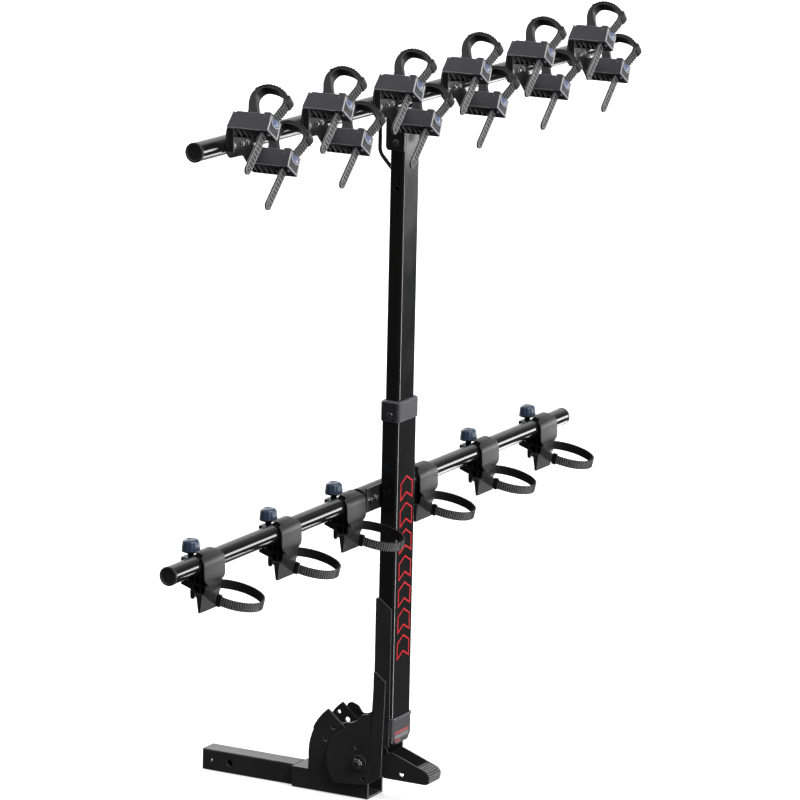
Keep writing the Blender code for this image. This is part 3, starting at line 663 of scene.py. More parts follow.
def pedal_outline():
    """The side of the pedal, as Y and Z."""
    heel = arc(PEDAL_AXLE, 0.012, -60, 75, 20)
    rest = [(0.0, 0.088), (-0.013, 0.0945), *PEDAL_TREAD, (-0.104, PEDAL_BOTTOM), (0.008, PEDAL_BOTTOM)]
    return heel + rounded(rest, 0.005, 5)


def path_points(path, pitch, start, end):
    """Points at this pitch along a path of corners, from one distance along it to another."""
    found = []
    distance = start
    passed = 0.0
    for first, second in zip(path, path[1:]):
        first, second = Vector(first), Vector(second)
        length = (second - first).length
        while distance <= min(end, passed + length):
            found.append(first.lerp(second, (distance - passed) / length))
            distance += pitch
        passed += length
    return found


def foot_pedal():
    inner = PEDAL_HALF - PEDAL_PLATE
    near, far = plates(pedal_outline(), inner, PEDAL_HALF)
    outside = [(y + 0.0010, z - 0.0012) for y, z in PEDAL_TREAD]
    inside = [(-0.107, 0.034), (-0.109, 0.0515), (-0.103, 0.0575), (-0.079, 0.0665)]
    tread = prism("X", outside + inside, -inner - 0.001, inner + 0.001)
    cuts = [rod("X", 0.0053, -0.04, 0.04, 32, PEDAL_AXLE), rod("X", 0.006, -0.04, 0.04, 32, PEDAL_HOLE)]
    shell = combined(near, [far, tread], cuts)
    piece("pedal_shell", shell, "coat", "pedal", nodes=["foot_pedal"], edge=0.0006)
    ribs = []
    for point in path_points(PEDAL_TREAD, 0.0058, 0.011, 0.057):
        centre = (point.x + 0.0002, point.y - 0.0004)
        ribs.append(rod("X", 0.0016, -PEDAL_HALF + 0.0004, PEDAL_HALF - 0.0004, 14, centre))
    piece("pedal_ribs", gathered(ribs), "tread", "pedal", edge=0)


def pedal_axle():
    half = TILT_HALF[0] - 0.0003
    profile = [(0, -half), (0.0042, -half), (0.005, 0.0008 - half)]
    profile += [(0.005, half - 0.0008), (0.0042, half), (0, half)]
    piece("pedal_shaft", turned("X", profile, 40, PEDAL_AXLE), "zinc", "mast", nodes=["pedal_axle"], edge=0)


def mast_cup():
    """The plastic shoe at the mast's foot, and the label's stripes on its rear face."""
    as_packed("mast_shoe", "mast_cup", "plastic", edge=0.0008)
    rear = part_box("mast_cup")[0].y - MAST_Y + 0.0015
    stripes = (("label_red", (-0.035, 0.030), (0.1385, 0.1450)), ("white", (-0.035, 0.030), (0.1275, 0.1365)))
    stripes += (("label_red", (-0.035, -0.008), (0.1205, 0.1250)),)
    for number, (look, x, z) in enumerate(stripes, 1):
        strip = box(x, (rear - 0.0002, rear + 0.0002), z)
        piece(f"shoe_stripe_{number}", strip, look, "mast", edge=0)


# Mast


def mast_tube(node, name, cuts):
    low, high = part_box(node)
    x, y, _ = half_size(node)
    outer = rounded_rectangle(x, y, MAST_CORNER, 10)
    inner = rounded_rectangle(x - MAST_WALL, y - MAST_WALL, MAST_CORNER - MAST_WALL, 10)
    tube = hollow_prism("Z", outer, inner, low.z, high.z)
    piece(name, combined(tube, cuts=cuts), "gloss", "mast", nodes=[node], edge=0.0004)


def mast_tubes():
    mast_tube("lower_mast", "mast_sleeve", [rod("X", 0.0033, -0.05, 0, 24, COLLAR_BOLT)])
    mast_tube("upper_mast", "mast_post", [rod("X", 0.0065, -0.05, 0.05, 32, MAST_HOLE)])


def mast_collar():
    """The moulded collar where the upper mast slides into the lower one, and its socket screw."""
    low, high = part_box("mast_collar")
    half = half_size("mast_collar")
    lip = 0.0015
    sections = []
    for z, step in ((low.z, lip), (low.z + lip, 0), (high.z - 2 * lip, 0), (high.z, 2 * lip)):
        sections.append([(a, b, z) for a, b in rounded_rectangle(half[0] - step, half[1] - step, 0.009)])
    cuts = []
    for node, start, end in (("lower_mast", 0.80, 0.9053), ("upper_mast", 0.85, 0.95)):
        x, y, _ = half_size(node)
        room = rounded_rectangle(x + 0.0003, y + 0.0003, MAST_CORNER)
        cuts.append(prism("Z", room, start, end))
    cuts.append(rod("X", 0.0078, -half[0] - 0.01, -half[0] + 0.0016, 40, COLLAR_BOLT))
    collar = combined(loft(sections), cuts=cuts)
    piece("mast_clamp", collar, "plastic", "mast", nodes=["mast_collar"], edge=0.0006)
    face = -half[0] - 0.002
    profile = [(0, -0.040), (0.003, -0.040), (0.003, -half[0] + 0.0018), (0.0055, -half[0] + 0.0018)]
    profile += [(0.0055, face + 0.0008), (0.0048, face), (0, face)]
    screw = turned("X", profile, 40, COLLAR_BOLT)
    socket = rod("X", 0.0028, face - 0.001, face + 0.003, 6, COLLAR_BOLT)
    piece("clamp_screw", combined(screw, cuts=[socket]), "nickel", "mast", nodes=["collar_bolt"], edge=0.0002)


def mast_graphic():
    """A row of outlined chevrons on the mast's rear face."""
    left, right = GRAPHIC_X
    pitch = (GRAPHIC_Z[1] - GRAPHIC_Z[0]) / CHEVRONS
    rise, tall = 0.26 * pitch, 0.66 * pitch
    centre = (left + right) / 2
    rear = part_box("lower_mast")[0].y - MAST_Y
    lines = []
    for i in range(CHEVRONS):
        z = GRAPHIC_Z[0] + i * pitch
        outline = [(left, z), (centre, z + rise), (right, z), (right, z + tall)]
        outline += [(centre, z + rise + tall), (left, z + tall)]
        lines.append(hollow_prism("Y", outline, inset(outline, GRAPHIC_LINE), rear - 0.00015, rear + 0.0002))
    piece("mast_chevrons", gathered(lines), "red", "mast", edge=0)


# Crossbars


def crossbar(node, name):
    half = half_size(node)[0]
    outer = circle((0, 0), BAR_RADIUS, 80)
    inner = circle((0, 0), BAR_RADIUS - BAR_WALL, 80)
    tube = hollow_prism("X", outer, inner, -half, half)
    piece(name, tube, "gloss", "mast", Matrix.Translation(middle(node)), [node], 0.0004)


def end_caps(bar):
    """A round cap with a lip and a sunk disc at each end of a bar."""
    first = None
    for label, side in (("left", -1), ("right", 1)):
        node = f"{bar}_end_cap_{label}"
        low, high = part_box(node)
        radius = half_size(node)[2]
        face = low.x if side < 0 else high.x
        turn = Matrix.Rotation(math.radians(0 if side < 0 else 180), 4, "Z")
        place = Matrix.Translation((face, middle(node).y, middle(node).z)) @ turn
        name = f"{bar}_bar_plug_{label}"
        if first:
            again(first, name, "mast", place, [node])
            continue
        lip = 0.0022
        profile = [(0, 0.028), (0.0178, 0.028), (0.0178, 0.006), (radius, 0.006)]
        profile += [(r, t) for r, t in arc((radius - lip, lip), lip, 0, -90, 6)]
        profile += [(0.0168, 0.0001), (0.0160, 0.0012), (0.0150, 0.0016)]
        profile += [(0.0040, 0.0016), (0.0030, 0.0022), (0, 0.0022)]
        first = piece(name, turned("X", profile, 72), "cover", "mast", place, [node], 0.0003)


def lower_bar_bracket():
    """The sleeve that clamps the lower bar, its plate on the mast's front, and the clamp's bolts."""
    half = 0.103
    outer = arc(LOWER_BAR, 0.0247, 0, 355, 71)
    inner = arc(LOWER_BAR, BAR_RADIUS + 0.0003, 0, 355, 71)
    sleeve = hollow_prism("X", outer, inner, -half, half)
    rear = 0.0223
    plate = box((-half, half), (rear, rear + 0.0045), (0.668, 0.724))
    room = rod("X", BAR_RADIUS + 0.0003, -0.2, 0.2, 72, LOWER_BAR)
    clamp = combined(sleeve, [combined(plate, cuts=[room])])
    piece("bar_sleeve", clamp, "black", "mast", nodes=["lower_bar_bracket"], edge=0.0007)
    heads = [hex_head("Y", 0.007, rear, rear - 0.006, (x, 0.696)) for x in (-0.088, -0.062, 0.062, 0.088)]
    piece("sleeve_bolts", gathered(heads), "nickel", "mast", edge=0.0003)


def upper_bar_saddle():
    as_packed("bar_saddle", "upper_bar_saddle", edge=0.0007)
    bolt = hex_head("X", 0.0072, -0.0400, -0.0455, (0.0015, 1.505))
    piece("saddle_bolt", bolt, "nickel", "mast", edge=0.0003)


def cable_hoop():
    """The bent rod on the car's side of the mast."""
    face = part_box("upper_mast")[1].y - MAST_Y + 0.0003
    lower, upper, reach = 1.437, 1.563, 0.0635
    corners = [(face, lower), (0.030, lower), (reach, lower + 0.036)]
    corners += [(reach, upper - 0.018), (0.045, upper), (0.0228, upper)]
    ends = [corners[0], corners[-1]]
    points = [ends[0], *rounded(corners, 0.012, 8)[9:-9], ends[1]]
    bent = swept(points, [circle((0, 0), 0.0045, 20)] * len(points))
    piece("hoop_rod", bent, "coat", "mast", nodes=["cable_hoop"], edge=0.0004)


# Wheel cradles on the lower bar


def across_path(path, widths, thickness):
    """A bent sheet with round edges: at each point of the path, Y and Z, it is this wide along X."""
    return swept(path, [rounded_rectangle(w, thickness / 2, thickness * 0.45, 4) for w in widths])


def cradle_cover():
    """The grey cover over the bar and down the rear of the neck, wide behind the bar and narrow elsewhere."""
    radius = 0.0280 - COVER_SHEET / 2
    steps = 34
    path = arc((0, 0), radius, 78, 180, steps)
    widths = []
    for i in range(steps + 1):
        spread = max(0.0, min(1.0, (i / steps - 0.50) / 0.26))
        widths.append(NECK_HALF + (CRADLE_HALF - NECK_HALF) * math.sqrt(1 - (1 - spread) ** 2))
    drop = [(-0.0272, -0.010, 0.044), (-0.0277, -0.020, 0.044), (-0.0279, -0.026, 0.0438)]
    drop += [(-0.0280, -0.030, 0.0428), (-0.0280, -0.033, 0.0408)]
    drop += [(-0.0280, -0.0355, 0.0375), (-0.0279, -0.0372, 0.0340)]
    drop += [(-0.0279, -0.0388, 0.0305), (-0.0278, -0.041, 0.0285), (-0.0277, -0.046, 0.0268)]
    drop += [(-0.0277, -0.052, 0.0258), (-0.0274, -0.060, 0.0255), (-0.0258, -0.0635, 0.0255)]
    drop += [(-0.0225, -0.0655, 0.0255)]
    path += [(y, z) for y, z, _ in drop]
    widths += [width for _, _, width in drop]
    return across_path(path, widths, COVER_SHEET)


def cradle_body():
    """The ribbed black body under the cover, with pockets in both its sides."""
    inner = BAR_RADIUS + 0.0003
    wrap = arc((0, 0), 0.0250, 150, 180, 8) + [(-0.0262, -0.030)] + arc((0, 0), inner, 200, 150, 12)
    liner = prism("X", wrap, -0.0410, 0.0410)
    crown = arc((0, 0), 0.0250, 88, 180, 18)
    rear = [(-0.0264, -0.036), (-0.0264, -0.060), (-0.020, -0.0640)]
    front = [(-0.004, -0.066), (0.009, -0.062), (0.020, -0.040), (0.0275, -0.012), (0.024, 0.008)]
    body = prism("X", crown + rear + front, -0.0292, 0.0292)
    flange = [(-0.016, 0.018), (0.016, 0.018), (0.016, 0.049), (-0.016, 0.049)]
    flange = prism("Z", rounded(flange, 0.006), -0.010, 0.008)
    pockets = [[(-0.0235, -0.027), (-0.010, -0.026), (-0.012, -0.042), (-0.0235, -0.046)]]
    pockets += [[(-0.006, -0.026), (0.004, -0.026), (0.003, -0.042), (-0.008, -0.042)]]
    pockets += [[(0.008, -0.025), (0.019, -0.022), (0.0155, -0.038), (0.007, -0.042)]]
    pockets += [[(-0.0235, -0.050), (-0.011, -0.046), (-0.011, -0.060), (-0.0215, -0.0605)]]
    pockets += [[(-0.007, -0.046), (0.009, -0.046), (0.005, -0.060), (-0.007, -0.062)]]
    cuts = [rod("X", inner, -0.05, 0.05, 72), rod("Z", 0.0043, -0.02, 0.02, 24, (0, KNOB_FORWARD))]
    for outline in pockets:
        for side in (-1, 1):
            cuts.append(prism("X", rounded(outline, 0.0015, 2), side * 0.012, side * 0.040))
    return combined(body, [liner, flange], cuts)


def cradle_foot():
    """The plate below the neck that stops the tyre."""
    outline = [(-0.0195, -0.062), (-0.016, -0.103), (-0.010, -0.103), (-0.004, -0.062)]
    return prism("X", outline, -0.038, 0.038)


def cradle_prongs():
    """The flap towards the car and the notched prong beside it."""
    flap = [(0.008, -0.060), (0.043, -0.048), (0.036, -0.036), (0.018, -0.038)]
    flap = prism("X", rounded(flap, 0.003), -0.024, 0.024)
    prong = prism("X", [(-0.001, -0.060), (0.007, -0.076), (0.012, -0.073), (0.013, -0.055)], -0.034, 0.034)
    notches = [box((x - 0.004, x + 0.004), (-0.01, 0.05), (-0.09, -0.064)) for x in (-0.020, 0, 0.020)]
    return gathered([flap, combined(prong, cuts=notches)])


def flute(angle, height):
    """The share of its radius that the knob keeps, with flutes down its side."""
    above = max(0.0, min(1.0, (height - 0.022) / 0.003))
    below = max(0.0, min(1.0, (0.046 - height) / 0.006))
    depth = FLUTE_DEPTH * above * below
    return 1 - depth * (0.5 - 0.5 * math.cos(FLUTES * angle)) ** 1.5


def knob_shape():
    """The domed hand knob, fluted down its side, with a shallow dish in its top."""
    wall = [(KNOB_RADIUS - 0.0004 - 0.0012 * (i / 6) ** 2, 0.0235 + 0.0125 * i / 6) for i in range(7)]
    dome = arc((KNOB_RADIUS - 0.0106, 0.0380), 0.0090, 0, 90, 10)
    dish = [(0.0088, 0.0470), (0.0080, 0.0460), (0.0060, 0.0454), (0.0, 0.0452)]
    profile = [(0, 0.0190), (KNOB_RADIUS - 0.002, 0.0190)]
    profile += [(KNOB_RADIUS - 0.001, 0.0200), (KNOB_RADIUS - 0.0004, 0.0215)]
    return turned("Z", profile + wall + dome + dish, 144, shrink=flute)


def knob_skirt():
    """The knob's dark lower rim, its collar and its threaded stem."""
    profile = [(0, -0.016), *threaded(0.004, -0.0155, 0.0083, 0.0014), (0.004, 0.0083), (0.0066, 0.0083)]
    profile += [(0.0072, 0.0090), (0.0072, 0.0150), (0.0100, 0.0178), (0.0172, 0.0186)]
    profile += [(KNOB_RADIUS - 0.0004, 0.0196), (KNOB_RADIUS, 0.0204)]
    profile += [(KNOB_RADIUS, 0.0222), (KNOB_RADIUS - 0.0008, 0.0230), (0, 0.0230)]
    return turned("Z", profile, 72)


def ring_opening():
    """The angle at which the ring strap's ends pass the neck's sides."""
    return math.pi - math.acos((NECK_HALF + 0.0006) / (RING_RADII[0] - RING_SHEET - TOOTH))


def ring_outline(start, end, outside, inside, steps):
    """A stretch of the ring strap between two angles and two distances in from its full radii."""
    wide, long = RING_RADII
    angles = [start + (end - start) * i / steps for i in range(steps + 1)]
    outer = [((wide - outside) * math.cos(a), (long - outside) * math.sin(a)) for a in angles]
    inner = [((wide - inside) * math.cos(a), (long - inside) * math.sin(a)) for a in angles]
    return outer + inner[::-1]


def droop(obj):
    """Sets a ring that was drawn level at its place, tipped down to the rear."""
    return moved(obj, Matrix.Translation((0, *RING_CENTRE)) @ Matrix.Rotation(RING_DROOP, 4, "X"))


def ring_strap():
    """The smooth band of the wheel strap."""
    opening = ring_opening()
    close = 3 * math.pi - opening
    outline = ring_outline(opening, close, TOOTH, TOOTH + RING_SHEET, 96)
    return droop(prism("Z", outline, -RING_HALF_WIDTH, RING_HALF_WIDTH))


def ring_teeth():
    """The fine teeth round the outside of the wheel strap, as far as its free end reaches."""
    opening = ring_opening()
    reach = (RING_RADII[0] + RING_RADII[1]) / 2
    step = RING_TOOTH_PITCH / reach
    teeth = []
    angle = opening + 0.3 * step
    while angle < RING_FREE_END:
        outline = ring_outline(angle, angle + 0.46 * step, 0, TOOTH + 0.0003, 1)
        teeth.append(prism("Z", outline, -RING_HALF_WIDTH + 0.0014, RING_HALF_WIDTH - 0.0014))
        angle += step
    return droop(gathered(teeth))


def ring_keeper():
    """The loop round the near band, close to the neck, that holds the strap's free end."""
    start, end = KEEPER_START, KEEPER_START + KEEPER_SPAN
    reach = RING_HALF_WIDTH + 0.0030
    outer = prism("Z", ring_outline(start, end, -0.0008, TOOTH + RING_SHEET + 0.0016, 6), -reach, reach)
    hollow = ring_outline(start - 0.1, end + 0.1, TOOTH / 2, TOOTH + RING_SHEET + 0.0001, 10)
    inner = prism("Z", hollow, -RING_HALF_WIDTH - 0.0002, RING_HALF_WIDTH + 0.0002)
    return droop(combined(outer, cuts=[inner]))


CRADLE_PIECES = (
    ("cradle_shell", cradle_cover, "cover", 0),
    ("cradle_core", cradle_body, "dark", 0.0004),
    ("cradle_foot", cradle_foot, "cover", 0.0008),
    ("cradle_prongs", cradle_prongs, "dark", 0.0005),
    ("wheel_band", ring_strap, "strap", 0.0004),
    # The band's teeth are pale as a painted highlight.
    ("band_teeth", ring_teeth, "tooth", 0.0002),
    ("band_keeper", ring_keeper, "dark", 0.0004),
)
KNOB_PIECES = (("knob_grip", knob_shape, "blue", 0), ("knob_skirt", knob_skirt, "dark", 0))
STANDS_FOR = {
    "cradle_core": "wheel_cradle",
    "wheel_band": "wheel_strap",
    "knob_grip": "cradle_knob",
    "hanger_plate": "hanger",
    "button_cap": "ratchet_button",
}


def repeated(pieces, label, body, place, made):
    """One copy of each piece in the list. The first copy is modelled, and the others share its mesh."""
    for name, model, look, edge in pieces:
        full = f"{name}_{label}"
        nodes = [f"{STANDS_FOR[name]}_{label}"] if name in STANDS_FOR else []
        if name in made:
            again(made[name], full, body, place, nodes)
        else:
            made[name] = piece(full, model(), look, body, place, nodes, edge)


def wheel_cradles():
    made = {}
    for number in range(1, BIKES + 1):
        x = middle(f"wheel_cradle_{number}").x
        y = MAST_Y + LOWER_BAR[0]
        bar = Matrix.Translation((x, y, LOWER_BAR[1]))
        knob = Matrix.Translation((x, y + KNOB_FORWARD, LOWER_BAR[1]))
        repeated(CRADLE_PIECES, number, f"cradle_{number}", bar, made)
        repeated(KNOB_PIECES, number, f"knob_{number}", knob, made)


# Handlebar hangers on the upper bar


def leaned(x, z):
    """A place beside the hanger's middle, as seen in the hanger's own leaning frame."""
    c, s = math.cos(HANGER_LEAN), math.sin(HANGER_LEAN)
    return c * x - s * z, s * x + c * z


def button_frame():
    """Puts a shape that was drawn along Z, with its face at 0, on a button's axis."""
    face = Vector((0, BLOCK_REAR + 0.008, BUTTON_HEIGHT))
    inward = Vector((0, math.cos(BUTTON_LEAN), -math.sin(BUTTON_LEAN)))
    turn = Matrix.Rotation(-RATCHET_TURN, 4, "Z")
    return Matrix.Translation(face) @ turn @ inward.to_track_quat("-Z", "Y").to_matrix().to_4x4()


def hanger_plate():
    """The bent steel plate behind the bar."""
    corners = [(-0.0680, 0.038), (-0.0714, 0.030), (-0.0714, -0.014), (-0.057, -0.028)]
    corners += [(-0.002, -0.029), (0.0156, -0.046), (0.041, -0.0714), (0.0714, -0.041)]
    corners += [(0.046, -0.0156), (-0.0156, 0.046), (-0.041, 0.0714)]
    outline = [leaned(x, z) for x, z in rounded(corners, 0.006, 4)]
    return prism("Y", outline, -0.0285, -0.0244)


def hanger_flange():
    """The plate's left edge, bent to the rear."""
    edge = [(-0.0714, 0.039), (-0.0714, -0.012), (-0.0679, -0.012), (-0.0679, 0.039)]
    return prism("Y", [leaned(x, z) for x, z in edge], -0.044, -0.0283)


def hanger_bolts():
    heads = []
    for x, radius in ((-0.0457, 0.0062), (-0.0083, 0.0046), (0.0127, 0.0052)):
        heads.append(hex_head("Y", radius, -0.0285, -0.0330, leaned(x, -0.004)))
    return gathered(heads)


def block_outline():
    """The side of a handlebar rest with its ratchet housing, as Y and height."""
    low, high = -BLOCK_HALF[1], BLOCK_HALF[1]
    crest = high + 0.005
    front = [(BLOCK_FRONT, low), (BLOCK_FRONT, high - 0.012), (BLOCK_FRONT - 0.009, high)]
    return front + [(-0.098, high), (-0.104, crest), (BLOCK_REAR + 0.010, crest), (BLOCK_REAR, low)]


def turned_rear(block):
    """Slants the block's rear end, so that its face turns to the side of -X."""
    for vertex in block.data.vertices:
        if vertex.co.y < -0.100:
            vertex.co.y -= math.tan(RATCHET_TURN) * vertex.co.x
    return block


def handlebar_rest():
    """A moulded rest, open underneath, with a pocket for the button in its slanted rear."""
    sides = (-BLOCK_HALF[0], BLOCK_HALF[0])
    block = turned_rear(prism("X", rounded(block_outline(), 0.0035, 4), *sides))
    cuts = []
    inside = (sides[0] + BLOCK_WALL, sides[1] - BLOCK_WALL)
    cuts.append(box(inside, (-0.098, BLOCK_FRONT - 0.003), (-0.05, BLOCK_HALF[1] - BLOCK_WALL)))
    pocket = rod("Z", BUTTON_RADIUS + BUTTON_GAP, -0.0105, 0.02, 56)
    cuts.append(moved(pocket, button_frame()))
    cuts.append(rod("X", 0.0021, sides[0] - 0.01, sides[0] + 0.004, 24, (-0.1035, 0.0150)))
    slot_x = (-TAIL_HALF - 0.001, TAIL_HALF + 0.001)
    cuts.append(box(slot_x, (TAIL_Y - 0.004, TAIL_Y + 0.004), (-0.05, -BLOCK_HALF[1] + 0.006)))
    return combined(block, cuts=cuts)


def rest_ribs():
    """The thin slanted ribs in the rest's open underside, and the rim along its near edge, in a pale grey
    that paints highlights: the ribs stand out from the shaded underside, and the rim is a painted highlight
    along the near lower edge.
    """
    low = -BLOCK_HALF[1]
    reach = BLOCK_HALF[0] - 0.0016
    ribs = []
    for y in RIB_PLACES:
        foot = [(-reach, y), (-reach, y - 0.0011), (reach, y - 0.0041), (reach, y - 0.0030)]
        ribs.append(prism("Z", foot, low + 0.0004, low + 0.020))
    ribs.append(box((-reach - 0.0012, -reach + 0.0008), (-0.104, -0.030), (low - 0.0005, low + 0.0010)))
    return gathered(ribs)


def ratchet_frame():
    """The pale frame round three sides of the housing's slanted rear face."""
    half = BLOCK_HALF[0] - 0.0003
    low = -(BUTTON_HEIGHT + BLOCK_HALF[1]) / math.cos(BUTTON_LEAN) + 0.0012
    high = 0.0105
    line = 0.0026
    outline = [(-half, high), (-half, low), (half, low), (half, high)]
    outline += [(half - line, high), (half - line, low + line)]
    outline += [(line - half, low + line), (line - half, high)]
    return moved(prism("Z", outline, -0.0008, 0.0009), button_frame())


def button_bezel():
    """The pale ring round the button."""
    near, far = BUTTON_RADIUS + BUTTON_GAP - 0.0002, BUTTON_RADIUS + BUTTON_GAP + 0.0026
    profile = [(near, -0.001), (near, 0.0012), (near + 0.0006, 0.0020), (far - 0.0006, 0.0020)]
    profile += [(far, 0.0012), (far, -0.001), (near, -0.001)]
    return moved(turned("Z", profile, 64), button_frame())


def pawl_tip():
    """The end of the ratchet's pawl, which shows under the housing."""
    low = -BLOCK_HALF[1]
    profile = [(0, low - 0.0016), (0.0026, low - 0.0014), (0.0034, low - 0.0006)]
    profile += [(0.0036, low + 0.002), (0, low + 0.002)]
    return turned("Z", profile, 36, (-0.003, -0.1205))


STRAP_FRONT = [(-0.052, 0.012), (-0.054, 0.028), (-0.0455, 0.052), (-0.0435, 0.073), (-0.0500, 0.0885)]
STRAP_CREST = [(-0.0620, 0.0957), (-0.0760, 0.0987), (-0.1015, 0.0934), (-0.1215, 0.0800), (-0.1310, 0.0640)]
STRAP_REAR = [(-0.1295, 0.0500), (-0.1240, 0.0330), (-0.1170, 0.0120)]
STRAP_INNER_LEG = [(-0.1125, 0.0120), (-0.1195, 0.0350), (-0.1240, 0.0520), (-0.1225, 0.0660)]
STRAP_INNER_LEG += [(-0.1150, 0.0770), (-0.0985, 0.0868)]
STRAP_INNER_HORN = [(-0.0760, 0.0915), (-0.0640, 0.0890), (-0.0580, 0.0800), (-0.0570, 0.0680)]
STRAP_INNER_HORN += [(-0.0660, 0.0480)]
STRAP_ROOT = [(-0.0760, 0.0320), (-0.0840, 0.0120)]
STRAP_LAYER = [(-0.0478, 0.0857), (-0.0620, 0.0958), (-0.0760, 0.0990), (-0.0900, 0.0973), (-0.1020, 0.0937)]
STRAP_LAYER += [(-0.1130, 0.0878), (-0.1225, 0.0800), (-0.1290, 0.0700)]


def smooth_path(points, steps=5):
    """More points between these, on a smooth curve through them."""
    path = []
    for i in range(len(points) - 1):
        before = Vector(points[max(i - 1, 0)])
        start, end = Vector(points[i]), Vector(points[i + 1])
        after = Vector(points[min(i + 2, len(points) - 1)])
        for k in range(steps):
            t = k / steps
            bend = (end - before) * t + (2 * before - 5 * start + 4 * end - after) * t**2
            bend += (3 * start - before - 3 * end + after) * t**3
            path.append(tuple(start + bend / 2))
    return path + [points[-1]]


def strap_loop():
    """The strap's root that rises from the rest, its thick crest over the handlebar, and its leg."""
    outline = smooth_path(STRAP_FRONT + STRAP_CREST + STRAP_REAR, 4)
    outline += smooth_path(STRAP_INNER_LEG + STRAP_INNER_HORN + STRAP_ROOT, 4)
    return prism("X", outline, -STRAP_HALF + 0.0012, STRAP_HALF - 0.0012)


def strap_layer():
    """The thin outer layer over the crest, whose free end stands off at the front."""
    path = smooth_path(STRAP_LAYER)
    return across_path(path, [STRAP_HALF] * len(path), 0.0024)


def teeth_along(path, pitch, start, end, half, foot, top):
    """Ratchet teeth across a strap, on the outer side of its path, between two distances along it."""
    teeth = []
    points = path_points(path, pitch, start, end)
    for first, second in zip(points, points[1:]):
        forward = (second - first).normalized()
        out = Vector((forward.y, -forward.x))
        tip = first + forward * 0.45 * pitch
        quad = [first + out * foot, tip + out * foot, tip + out * 0.7 * top, first + out * top]
        teeth.append(prism("X", [tuple(p) for p in quad], -half, half))
    return teeth


def strap_teeth():
    """The ratchet teeth down the rear of the strap's leg."""
    leg = smooth_path(STRAP_CREST[-1:] + STRAP_REAR)
    return gathered(teeth_along(leg, 0.0062, 0.002, 0.052, STRAP_HALF - 0.0008, -0.0008, 0.0020))


def crest_teeth():
    """The low teeth over the crest's outer layer."""
    crest = smooth_path(STRAP_LAYER)
    return gathered(teeth_along(crest, 0.0082, 0.001, 0.095, STRAP_HALF - 0.001, 0.0008, 0.0032))


def strap_pad():
    """The short pad end that stands off the top of the leg."""
    outline = [(-0.1275, 0.0780), (-0.1305, 0.0560), (-0.1350, 0.0550), (-0.1385, 0.0690), (-0.1345, 0.0780)]
    return prism("X", rounded(outline, 0.003, 4), -STRAP_HALF + 0.001, STRAP_HALF - 0.001)


def tail_outline(half, top):
    """A strap's free end with a round tip, as X and height."""
    return arc((0, TAIL_TIP), half, 180, 360, 16) + [(half, top), (-half, top)]


def tail_base():
    """The free end of the strap below the ratchet, with a small hole in its tip."""
    outline = tail_outline(TAIL_HALF, -BLOCK_HALF[1] + 0.004)
    sheet = prism("Y", outline, TAIL_Y - 0.0012, TAIL_Y + 0.0012)
    hole = rod("Y", TAIL_HOLE, TAIL_Y - 0.01, TAIL_Y + 0.01, 28, (0, TAIL_HOLE_Z))
    return combined(sheet, cuts=[hole])


def tail_ladder():
    """The raised rims and rungs on both sides of the free end, lighter than the sheet between them: partly
    wear, partly a painted highlight.
    """
    top = -BLOCK_HALF[1] + 0.002
    outer = tail_outline(TAIL_HALF, top)
    inner = tail_outline(TAIL_HALF - TAIL_RIM, top - TAIL_RIM)
    ring = arc((0, TAIL_HOLE_Z), 0.0052, 0, 348, 29)
    hole = arc((0, TAIL_HOLE_Z), TAIL_HOLE, 0, 348, 29)
    half = TAIL_HALF - 0.002
    pitch = (top - TAIL_TIP - TAIL_RIM) / RUNGS
    parts = []
    for start, end in ((TAIL_Y - 0.0025, TAIL_Y - 0.0011), (TAIL_Y + 0.0011, TAIL_Y + 0.0025)):
        parts.append(hollow_prism("Y", outer, inner, start, end))
        parts.append(hollow_prism("Y", ring, hole, start, end))
        for i in range(RUNGS):
            z = TAIL_TIP + 0.0065 + i * pitch
            rung = [(-half, z), (half, z + 0.0012), (half, z + 0.0050), (-half, z + 0.0038)]
            parts.append(prism("Y", rung, start + 0.0002, end - 0.0002))
    return gathered(parts)


def button_cap():
    """A ratchet's push button, drawn along Z with its face at 0."""
    radius = BUTTON_RADIUS
    angles = [math.pi / 2 * i / 8 for i in range(8)]
    dome = [(radius * math.cos(a), 0.0003 + 0.0014 * math.sin(a)) for a in angles]
    foot = [(0, -0.005), (radius - 0.0006, -0.005), (radius, -0.0044)]
    return turned("Z", foot + dome + [(0.0030, 0.0016), (0.0024, 0.0010), (0, 0.0010)], 64)


SIDE_PIECES = (
    ("bar_rest", handlebar_rest, "plastic", 0.0009),
    # The ribs and rim are pale as a painted highlight, not a colour of their own.
    ("rest_ribs", rest_ribs, "rib", 0),
    ("ratchet_frame", ratchet_frame, "pale", 0.0003),
    ("button_ring", button_bezel, "pale", 0),
    ("pawl_tip", pawl_tip, "pale", 0),
    ("strap_loop", strap_loop, "strap", 0.0010),
    ("strap_layer", strap_layer, "strap", 0),
    ("crest_teeth", crest_teeth, "strap", 0.0002),
    # The leg's teeth are pale as a painted highlight.
    ("strap_teeth", strap_teeth, "tooth", 0.0002),
    ("strap_pad", strap_pad, "strap", 0.0008),
    ("tail_sheet", tail_base, "groove", 0.0003),
    # The ladder is lighter than the sheet: partly wear, partly a painted highlight.
    ("tail_ladder", tail_ladder, "tail", 0.0003),
)
PLATE_PIECES = (
    ("hanger_plate", hanger_plate, "black", 0.0008),
    ("hanger_flange", hanger_flange, "flange", 0.0008),
    ("hanger_bolts", hanger_bolts, "zinc", 0.0003),
)
BUTTON_PIECES = (("button_cap", button_cap, "button", 0),)


